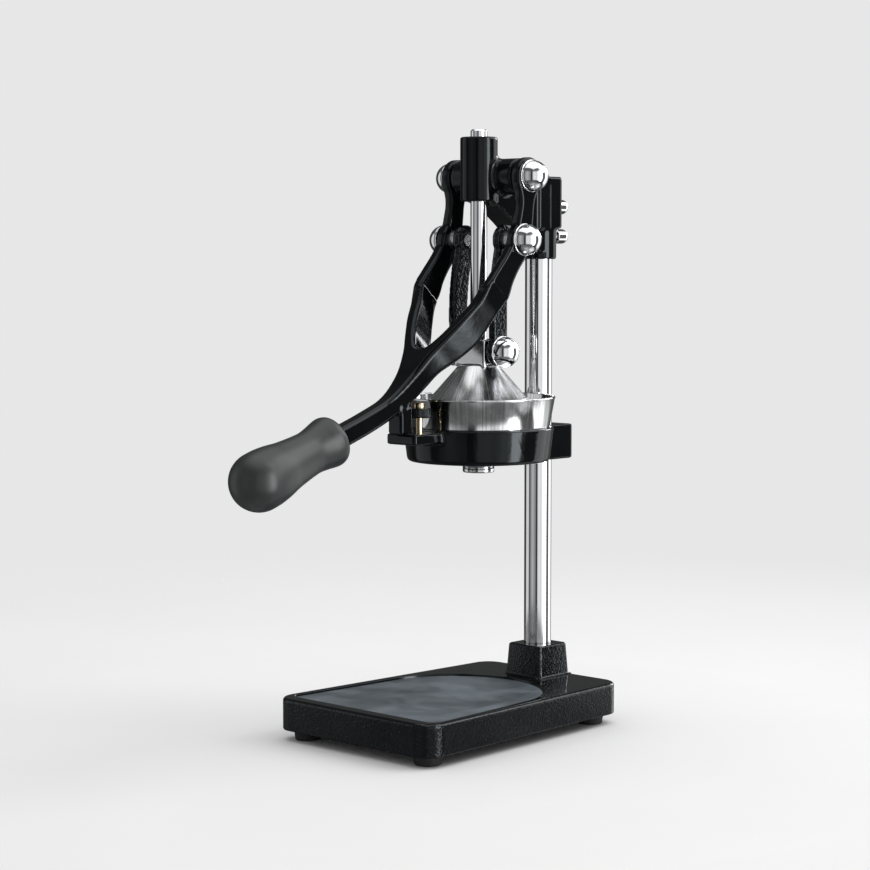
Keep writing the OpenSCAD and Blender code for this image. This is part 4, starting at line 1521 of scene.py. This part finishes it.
    def reamer(self) -> None:
        """Ribbed cone from one sector repeated by geometry nodes."""
        rows, columns = 26, 12
        half = math.pi / self.ribs
        points = []
        for i in range(rows):
            t = i / (rows - 1)
            height = self.reamer_h * (1.0 - (1.0 - t) ** self.row_spread)
            radius = self.tip_r + (self.reamer_r - self.tip_r) * (1.0 - t) ** self.flank
            out = self.rib_out * math.sin(math.pi * min(t * self.rib_end, 1.0)) ** 0.6
            for k in range(columns + 1):
                a = -half + 2 * half * k / columns
                ridge = 0.5 + 0.5 * math.cos(math.pi * a / half)
                r = min(radius + out * (ridge ** 2 - self.valley), self.reamer_r) * MM
                points.append((r * math.cos(a), r * math.sin(a), height * MM))
        faces = grid_faces(rows, columns)
        top, foot = len(points), len(points) + 1
        points.extend([(0.0, 0.0, self.reamer_h * MM), (0.0, 0.0, 0.0)])
        last = (rows - 1) * (columns + 1)
        for k in range(columns):
            faces.append((last + k, last + k + 1, top))
            faces.append((k + 1, k, foot))
        at = self.at(0, 0, self.strainer_z + self.sheet)
        cone = ringed(new_object("reamer_cone", points, faces), self.ribs, at, CUP_STEEL)
        r, end = self.stem_r, self.stem_foot
        stem = soften((Corner(0, end), Corner(r, end, 0.8), Corner(r, 0.4), Corner(0, 0.4)), False)
        stem = turned("stem", stem, at, Axis.Z, 48)
        self.tie(join("reamer_piece", [cone, stem]), CUP_STEEL, "reamer")


@dataclass(frozen=True)
class Cap:
    """Domed cap pressed on a pin's end; lengths in millimetres."""

    radius: float = 14.25
    height: float = 16.0
    flange: float = 1.2
    ball_r: float = 13.7

    def profile(self) -> list[Point2]:
        """Flange, short side and dome.

        Returns:
            Points (radius, height) in millimetres.
        """
        rise, ball = self.height - self.ball_r, self.ball_r
        out = soften((Corner(0, 0), Corner(self.radius, 0, 0.3), Corner(self.radius, self.flange, 0.4),
                      Corner(ball - 0.3, self.flange + 0.1, 0.2), Corner(ball, rise)), False, 4)
        dome = arc((0.0, rise), ball, np.linspace(0.08, math.pi / 2, 24)[:-1])
        return out + dome + [(0.0, self.height)]

    def pairs(self, name: str, places: Sequence[Vector], face: float) -> Obj:
        """Caps on both ends of some pins, copied by geometry nodes.

        Args:
            name: Name of the new object.
            places: A point on each pin's axis.
            face: Distance in metres from the middle to the caps' backs.

        Returns:
            The caps as one object.
        """
        piece = turned("cap_piece", self.profile(), (0, 0, 0), Axis.X, 96)
        spots, turns = [], []
        for place in places:
            spots.extend([(face, place.y, place.z), (-face, place.y, place.z)])
            turns.extend([0.0, math.pi])
        return copied(name, piece, CHROME, spots, turns)


@dataclass
class Head(Dresser):
    """Head casting on the column, with its bushes and clamp screws; lengths in millimetres."""

    foundry: Foundry = Foundry(0.7, 1.4, 3.0, 6)
    screw_profile: tuple[Corner, ...] = (
        Corner(0, 0), Corner(4.0, 0), Corner(4.0, 5.4, 0.2), Corner(6.2, 5.4, 0.5), Corner(6.75, 6.2, 0.3),
        Corner(6.75, 15.0, 0.4))
    dome_r: float = 6.75
    dome_h: float = 6.6
    dome_foot: float = 15.6
    face_back: float = 97.2
    screw_z: tuple[float, ...] = (470.0, 443.0)

    def build(self) -> None:
        """Cast the head and turn its screws."""
        self.tie(self.foundry.cast("head_casting", self.nodes["head"]), GLOSS_BLACK, "head")
        self.coat(BRONZE, "guide_bushes", "cross_bushes")
        profile = soften(self.screw_profile, False)
        profile.extend((self.dome_r * math.cos(a), self.dome_foot + self.dome_h * math.sin(a))
                       for a in np.linspace(0.0, math.pi / 2, 14)[:-1])
        profile.append((0.0, self.dome_foot + self.dome_h))
        piece = turned("screw_piece", profile, (0, 0, 0), Axis.Y, 64)
        places = [self.at(0, self.face_back, z) for z in self.screw_z]
        screws = copied("clamp_screw_pair", piece, CHROME, places)
        self.tie(screws, CHROME, "head_clamp_screws")


@dataclass
class Lever(Dresser):
    """Forked lever with its pins, caps and rubber grip; lengths in millimetres."""

    body = Body.LEVER
    cap: Cap = Cap()
    eye: Point2 = (16.5, 495.0)
    eye_r: float = 16.5
    lower_eye: Point2 = (7.75, 439.0)
    lower_eye_r: float = 13.5
    slope: float = 19.5
    mouth: Point2 = (-181.0, 271.2)
    half_high: float = 9.1
    droop: float = 1.25
    front_knots: tuple[Point2, ...] = (
        (-15.2, -6.0), (-11.3, -21.0), (-13.5, -35.0), (-17.9, -49.0), (-27.5, -66.0), (-40.5, -81.0),
        (-53.0, -95.0), (-56.5, -102.0), (-62.5, -112.0), (-73.5, -125.0), (-96.5, -153.5), (-113.5, -174.0),
        (-134.7, -191.5), (-162.2, -203.2))
    back_knots: tuple[Point2, ...] = (
        (-155.6, -219.8), (-128.5, -208.0), (-108.5, -196.0), (-94.5, -184.0), (-83.5, -173.0),
        (-68.5, -162.0), (-54.5, -148.0), (-45.5, -133.0), (-37.5, -119.0), (-27.5, -107.0), (-21.5, -94.0),
        (-13.5, -82.0), (-3.5, -70.0), (2.5, -55.0), (4.5, -39.0), (7.0, -21.0), (15.2, -6.0))
    plan_slope: float = 48.0
    plan_start: Point2 = (-54.5, -100.5)
    outer_knots: tuple[Point2, ...] = (
        (47.0, -300.0), (47.0, -26.0), (46.4, -10.0), (44.2, 3.0), (40.4, 15.0), (34.4, 32.0), (26.4, 50.0),
        (18.0, 68.5), (11.9, 92.0), (8.4, 122.0), (8.0, 150.0), (8.0, 300.0))
    inner_knots: tuple[Point2, ...] = (
        (37.0, -300.0), (37.0, -26.0), (35.8, -9.0), (32.0, 6.0), (25.8, 25.0), (18.5, 42.0), (11.5, 53.6),
        (6.0, 59.8), (0.0, 62.2))
    plan_span: Point2 = (-160.0, 260.0)
    plan_step: float = 0.6
    grid_low: Point3 = (-49.0, -184.0, 262.0)
    grid_high: Point3 = (49.0, 36.0, 514.0)
    eye_fillet: float = 3.0
    stop_low: Point3 = (-8.5, -107.0, 271.3)
    stop_high: Point3 = (8.5, -93.0, 296.0)
    stop_edge: float = 1.6
    stop_fillet: float = 4.0
    arm_edge: float = 2.3
    bar_edge: float = 4.2
    edge_change: Point2 = (20.0, 90.0)
    ferrule_r: float = 14.6
    ferrule_t: float = 3.5
    grip_knots: tuple[Point2, ...] = (
        (12.5, 0.0), (19.7, 0.8), (21.9, 5.0), (21.4, 11.0), (20.1, 17.8), (18.8, 27.5), (19.0, 35.5),
        (20.1, 47.1), (21.6, 58.6), (23.7, 69.3), (25.0, 79.9), (25.2, 88.8))
    grip_end_r: float = 25.2

    def build(self) -> None:
        """Shape the fork and turn the rest."""
        self.tie(self.fork(), GLOSS_BLACK, "handle_fork")
        _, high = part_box("pivot_caps")
        caps = self.cap.pairs("lever_caps", [self.middle("pivot_caps"), self.middle("upper_caps")],
                              high[0] - self.cap.height * MM)
        self.tie(caps, CHROME, "pivot_caps", "upper_caps")
        self.coat(HARDWARE, "pivot_axle", "pivot_washers", "upper_pins")
        self.grip()

    def side(self) -> list[Point2]:
        """Side outline of the arms and the bar.

        Returns:
            Points (y, z) in millimetres.
        """
        lean = math.radians(self.slope)
        up = Vector((-math.sin(lean), math.cos(lean)))
        along = Vector((math.cos(lean), math.sin(lean)))
        root = Vector(self.mouth) - Vector(self.eye) + self.ferrule_t * along
        front = smooth_curve(self.front_knots + (tuple(root + (self.half_high - self.droop) * up),), 10)
        back = smooth_curve((tuple(root - (self.half_high + self.droop) * up),) + self.back_knots, 10)
        return [(y + self.eye[0], z + self.eye[1]) for y, z in front + back]

    def fork(self) -> Obj:
        """Meet the side outline with the fork's plan, with rounded edges, and weld on eyes and stop.

        Returns:
            The fork as one smooth object.
        """
        grid = Field(self.grid_low, self.grid_high)
        rise = Field.outline(self.side(), grid.y, grid.z)
        for (y, z), r in ((self.eye, self.eye_r), (self.lower_eye, self.lower_eye_r)):
            rise = Field.weld(rise, np.hypot(grid.y - y, grid.z - z) - r, self.eye_fillet)
        lean = math.radians(self.plan_slope)
        along = -(grid.y - self.eye[0] - self.plan_start[0]) * math.cos(lean) - (
            grid.z - self.eye[1] - self.plan_start[1]) * math.sin(lean)
        place = (along[0] - self.plan_span[0]) / self.plan_step
        index = place.astype(np.int32)
        share = (place - index)[None, :, :]
        plan = self.plan(np.abs(grid.x[:, 0, 0])[:, None])
        spread = plan[:, index] * (1.0 - share) + plan[:, index + 1] * share
        start, end = self.edge_change
        change = np.clip((along - start) / (end - start), 0.0, 1.0)
        edge = self.arm_edge + (self.bar_edge - self.arm_edge) * change * change * (3.0 - 2.0 * change)
        solid = Field.meet(rise, spread, edge)
        solid = Field.weld(solid, grid.box(self.stop_low, self.stop_high, self.stop_edge), self.stop_fillet)
        return relaxed(grid.draw("fork_casting", solid, self.shift), 4)

    def plan(self, across: np.ndarray) -> np.ndarray:
        """Distances to the fork's plan, for offsets across it and for steps along it.

        Args:
            across: Offsets across the fork.

        Returns:
            The distances, negative inside.
        """
        runs = np.arange(*self.plan_span, self.plan_step, dtype=np.float32)[None, :]
        gaps = []
        for knots in (self.outer_knots, self.inner_knots):
            curve = smooth_curve(knots, 12)
            far = [(-400.0, knots[-1][1]), (-400.0, knots[0][1])]
            gaps.append(Field.outline(curve + far, across, runs))
        return Field.meet(gaps[0], -gaps[1], 0.01)

    def grip(self) -> None:
        """Turn the ferrule and the grip along the bar's slope."""
        lean = math.radians(self.slope)
        grow = Vector((0.0, -math.cos(lean), -math.sin(lean)))
        side = Vector((1.0, 0.0, 0.0))
        basis = (side, grow.cross(side), grow)
        foot = self.at(0, *self.mouth)
        r, last = self.grip_end_r, self.grip_knots[-1][1]
        end = arc((0.0, last), r, np.linspace(0.06, math.pi / 2, 26)[:-1]) + [(0.0, last + r)]
        curve = [(0.0, 0.0)] + smooth_curve(self.grip_knots) + end
        self.tie(turned("grip_sleeve", curve, foot, basis, 144), GRIP, "grip")
        t, r = self.ferrule_t, self.ferrule_r
        ring = soften((Corner(0, -t), Corner(r, -t, 0.9), Corner(r, 0.0, 0.5), Corner(0, 0.0)), False)
        self.tie(turned("ferrule_ring", ring, foot, basis, 96), GLOSS_BLACK, "grip_ferrule")


@dataclass
class Links(Dresser):
    """Two hammered links."""

    body = Body.LINKS
    foundry: Foundry = Foundry(0.6, 2.2, 2.0, 4)

    def build(self) -> None:
        """Cast both links."""
        for node in ("link_right", "link_left"):
            self.tie(self.foundry.cast(node + "_casting", self.nodes[node]), HAMMER_BLACK, node)
        self.coat(HARDWARE, "link_studs")


@dataclass
class Ram(Dresser):
    """Ram rod with its crosshead and press cone; lengths in millimetres."""

    body = Body.RAM
    foundry: Foundry = Foundry(0.5, 1.2, 0.0, 2)
    cap: Cap = Cap()
    rod_r: float = 7.5
    cone_top_z: float = 328.0
    cone_top_r: float = 17.5
    cone_rim_r: float = 43.8
    cone_h: float = 30.5
    cone_bore: float = 3.2
    bead_r: float = 1.2
    sheet: float = 1.6

    def build(self) -> None:
        """Cast the crosshead and turn the rest."""
        self.tie(self.foundry.cast("crosshead_block", self.nodes["crosshead"]), BLOCK_STEEL, "crosshead")
        low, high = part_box("ram_rod")
        length = (high[2] - low[2]) / MM
        rod = soften((Corner(0, 0), Corner(self.rod_r, 0, 0.6), Corner(self.rod_r, length - 1.4, 0.5),
                      Corner(self.rod_r - 1.3, length, 0.5), Corner(0, length)), False)
        self.tie(turned("ram_bar", rod, self.at(0, 0, low[2] / MM), Axis.Z, 96), CHROME, "ram_rod")
        _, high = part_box("lower_caps")
        caps = self.cap.pairs("ram_caps", [self.middle("lower_caps")], high[0] - self.cap.height * MM)
        self.tie(caps, CHROME, "lower_caps")
        self.coat(HARDWARE, "lower_pin", "lower_washers", "cone_screw")
        self.cone()

    def cone(self) -> None:
        """Turn the press cone with its rolled rim."""
        top, rim = self.cone_top_z, self.cone_top_z - self.cone_h
        bore, r = self.cone_bore, self.cone_rim_r
        outer = soften((Corner(bore, top), Corner(self.cone_top_r, top, 3.0), Corner(r, rim + 0.6)), False)
        roll = bead((r - 0.6, rim), self.bead_r, 30, -181)
        inner = soften((Corner(r - 2.2, rim + 0.4), Corner(self.cone_top_r - 0.6, top - self.sheet, 2.5),
                        Corner(bore, top - self.sheet)), False)
        cone = turned("press_cone_shell", outer + roll + inner, self.at(0, 0, 0), Axis.Z, 180, True)
        self.tie(cone, CONE_STEEL, "press_cone")


# ------------------------------------------------------------------ studio


def greys(stops: Sequence[Point2], low: float, high: float, top: float = 1.0) -> list[tuple[float, Point3]]:
    """Stops of a colour ramp from places between low and high and grey levels of at most top."""
    return [((place - low) / (high - low), (level / top,) * 3) for place, level in stops]


@dataclass
class Studio:
    """Pale floor, soft lamps, camera, and the room that glossy surfaces mirror.

    The room is a set of grey levels by compass angle in degrees, by height (the
    sine of the elevation), or both. Levels are light strengths up to the peak.
    """

    camera_at: Vector = field(default_factory=lambda: Vector((1.3631, -1.409697, 0.421473)))
    heading: float = math.radians(43.464)
    pitch: float = math.radians(-4.429)
    lens: float = 93.63
    floor_half: float = 3.0
    floor_fade: Point2 = (0.45, 1.3)
    floor_grey: float = 0.78
    floor_mirrored: float = 0.1
    floor_shine: float = 0.42
    table_reach: float = 0.45
    world_grey: float = 0.8
    daylight: float = 0.62
    peak: float = 14.0
    bands: tuple[Point2, ...] = (
        (-180.0, 0.03), (-168.0, 0.04), (-164.0, 0.7), (-134.0, 0.75), (-130.0, 0.1), (-118.0, 0.12),
        (-110.0, 0.3), (-93.0, 0.5), (-78.0, 0.32), (-68.0, 0.25), (-64.0, 0.04), (-54.0, 0.04), (-48.0, 0.8),
        (-33.0, 0.9), (-20.0, 0.75), (-8.0, 1.4), (2.0, 1.3), (8.0, 9.0), (20.0, 9.0), (25.0, 1.5),
        (30.0, 0.15), (54.0, 0.12), (58.0, 2.0), (80.0, 1.6), (86.0, 0.9), (98.0, 0.7), (101.0, 0.3),
        (110.0, 0.12), (180.0, 0.04))
    pane: tuple[Point2, ...] = (
        (-180.0, 0.0), (80.0, 0.0), (84.0, 7.0), (99.0, 7.0), (103.0, 0.0), (180.0, 0.0))
    pane_heights: tuple[Point2, ...] = (
        (-1.0, 0.0), (0.08, 0.0), (0.13, 1.0), (0.4, 1.0), (0.5, 0.0), (1.0, 0.0))
    tops: tuple[Point2, ...] = (
        (-1.0, 0.05), (-0.3, 0.05), (0.45, 0.1), (0.78, 0.1), (0.9, 0.4), (0.95, 0.75), (1.0, 0.6))
    top_share: tuple[Point2, ...] = (
        (-1.0, 1.0), (-0.62, 1.0), (-0.46, 0.0), (0.42, 0.0), (0.6, 0.94), (1.0, 1.0))
    aim: Point3 = (0.0, 0.0, 0.27)

    def build(self) -> None:
        """Make floor, world, lamps and camera."""
        self.floor()
        self.world()
        self.lamp("window", (1.2, 1.6, 2.1), 2.0, 34.0)
        self.lamp("top_fill", (0.0, 0.2, 3.2), 4.2, 48.0)
        self.camera()

    def floor(self) -> None:
        """A wide pale floor at the height of the feet.

        Mirrored in the object it is a dark table with a faint shine. Both end in
        nothing, so that no edge shows.
        """
        mesh = bpy.data.meshes.new("floor")
        h = self.floor_half
        mesh.from_pydata([(-h, -h, 0), (h, -h, 0), (h, h, 0), (-h, h, 0)], [], [(0, 1, 2, 3)])
        obj = linked("floor", mesh)
        tree = Tree("pale_floor")
        tree.set(Roughness=0.7, Specular_IOR_Level=0.0)
        tones = greys(((0.3, self.floor_grey * 0.97), (0.7, self.floor_grey)), 0.0, 1.0)
        tree.links.new(tree.ramp(tree.noise(tree.coord, 3.0, 4.0), tones), tree.shader.inputs["Base Color"])
        sheens = greys(((0.3, 0.1), (0.75, self.floor_shine)), 0.0, 1.0)
        shine = tree.add("ShaderNodeBsdfAnisotropic", {
            "Color": tree.ramp(tree.noise(tree.coord, 9.0, 4.0, 0.6), sheens), "Roughness": 0.2})
        dull = tree.add("ShaderNodeBsdfDiffuse", {"Color": (self.floor_mirrored,) * 3 + (1.0,)})
        dim = tree.add("ShaderNodeAddShader", {0: dull.outputs[0], 1: shine.outputs[0]})
        clear = tree.add("ShaderNodeBsdfTransparent").outputs[0]
        reach = tree.add("ShaderNodeVectorMath", {0: tree.coord}, operation="LENGTH").outputs["Value"]
        edge = tree.span(reach, 0.0, 1.0, self.table_reach, self.table_reach * 1.3)
        table = tree.mix(edge, dim.outputs[0], clear)
        path = tree.add("ShaderNodeLightPath").outputs
        near = tree.mix(path["Is Glossy Ray"], tree.shader.outputs["BSDF"], table)
        whole = tree.mix(tree.span(reach, 0.0, 1.0, *self.floor_fade), near, clear)
        tree.links.new(whole, tree.output.inputs["Surface"])
        mesh.materials.append(tree.material)

    def world(self) -> None:
        """Pale to the camera; for reflections, a dark room with tall windows; plain daylight for the rest."""
        world = bpy.data.worlds.new("studio")
        bpy.context.scene.world = world
        world.use_nodes = True
        graph = Graph(world.node_tree)
        graph.nodes.clear()
        coord = graph.add("ShaderNodeTexCoord").outputs["Generated"]
        view = graph.add("ShaderNodeSeparateXYZ", {"Vector": coord}).outputs
        angle = graph.span(graph.math("ARCTAN2", view["Y"], view["X"]), 0.0, 1.0, -math.pi, math.pi)
        height = graph.span(view["Z"], 0.0, 1.0, -1.0, 1.0)
        bands, pane = (graph.ramp(angle, greys(s, -180.0, 180.0, self.peak)) for s in (self.bands, self.pane))
        tops = graph.ramp(height, greys(self.tops, -1.0, 1.0, self.peak))
        share, rise = (graph.ramp(height, greys(s, -1.0, 1.0)) for s in (self.top_share, self.pane_heights))
        walls = graph.add("ShaderNodeMix", {0: share, 6: bands, 7: tops}, data_type="RGBA").outputs[2]
        lit = graph.add("ShaderNodeVectorMath", {0: pane, 1: rise, 2: walls}, operation="MULTIPLY_ADD")
        room = graph.add("ShaderNodeBackground", {"Color": lit.outputs[0], "Strength": self.peak})
        plain, pale = (graph.add("ShaderNodeBackground", {"Color": (grey,) * 3 + (1.0,)})
                       for grey in (self.daylight, self.world_grey))
        path = graph.add("ShaderNodeLightPath").outputs
        shine = graph.mix(path["Is Glossy Ray"], plain.outputs[0], room.outputs[0])
        seen = graph.mix(path["Is Camera Ray"], shine, pale.outputs[0])
        graph.add("ShaderNodeOutputWorld", {"Surface": seen})
        world.cycles.sampling_method = "NONE"

    def lamp(self, name: str, at: Point3, size: float, power: float) -> None:
        """One square soft lamp, aimed at the middle of the object.

        Args:
            name: The lamp's name.
            at: Its place in metres.
            size: Its side in metres.
            power: Its power in watts.
        """
        data = bpy.data.lights.new(name, "AREA")
        data.shape = "RECTANGLE"
        data.size = data.size_y = size
        data.energy = power
        turn = (Vector(self.aim) - Vector(at)).to_track_quat("-Z", "Y")
        linked(name, data).matrix_world = Matrix.Translation(at) @ turn.to_matrix().to_4x4()

    def camera(self) -> None:
        """Camera at the object's right front, looking a little down."""
        data = bpy.data.cameras.new("camera")
        data.lens = self.lens
        data.sensor_width = 36.0
        data.clip_end = 50.0
        obj = linked("camera", data)
        obj.location = self.camera_at
        obj.rotation_euler = (math.pi / 2 + self.pitch, 0.0, self.heading)
        bpy.context.scene.camera = obj


def main() -> None:
    """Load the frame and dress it."""
    logging.basicConfig(level=logging.INFO, format="%(message)s")
    bpy.context.scene.view_settings.view_transform = "Standard"
    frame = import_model()
    for part in (Base, Column, Holder, Cup, Head, Lever, Links, Ram):
        part(frame["nodes"]).build()
    Studio().build()


if __name__ == "__main__":
    main()
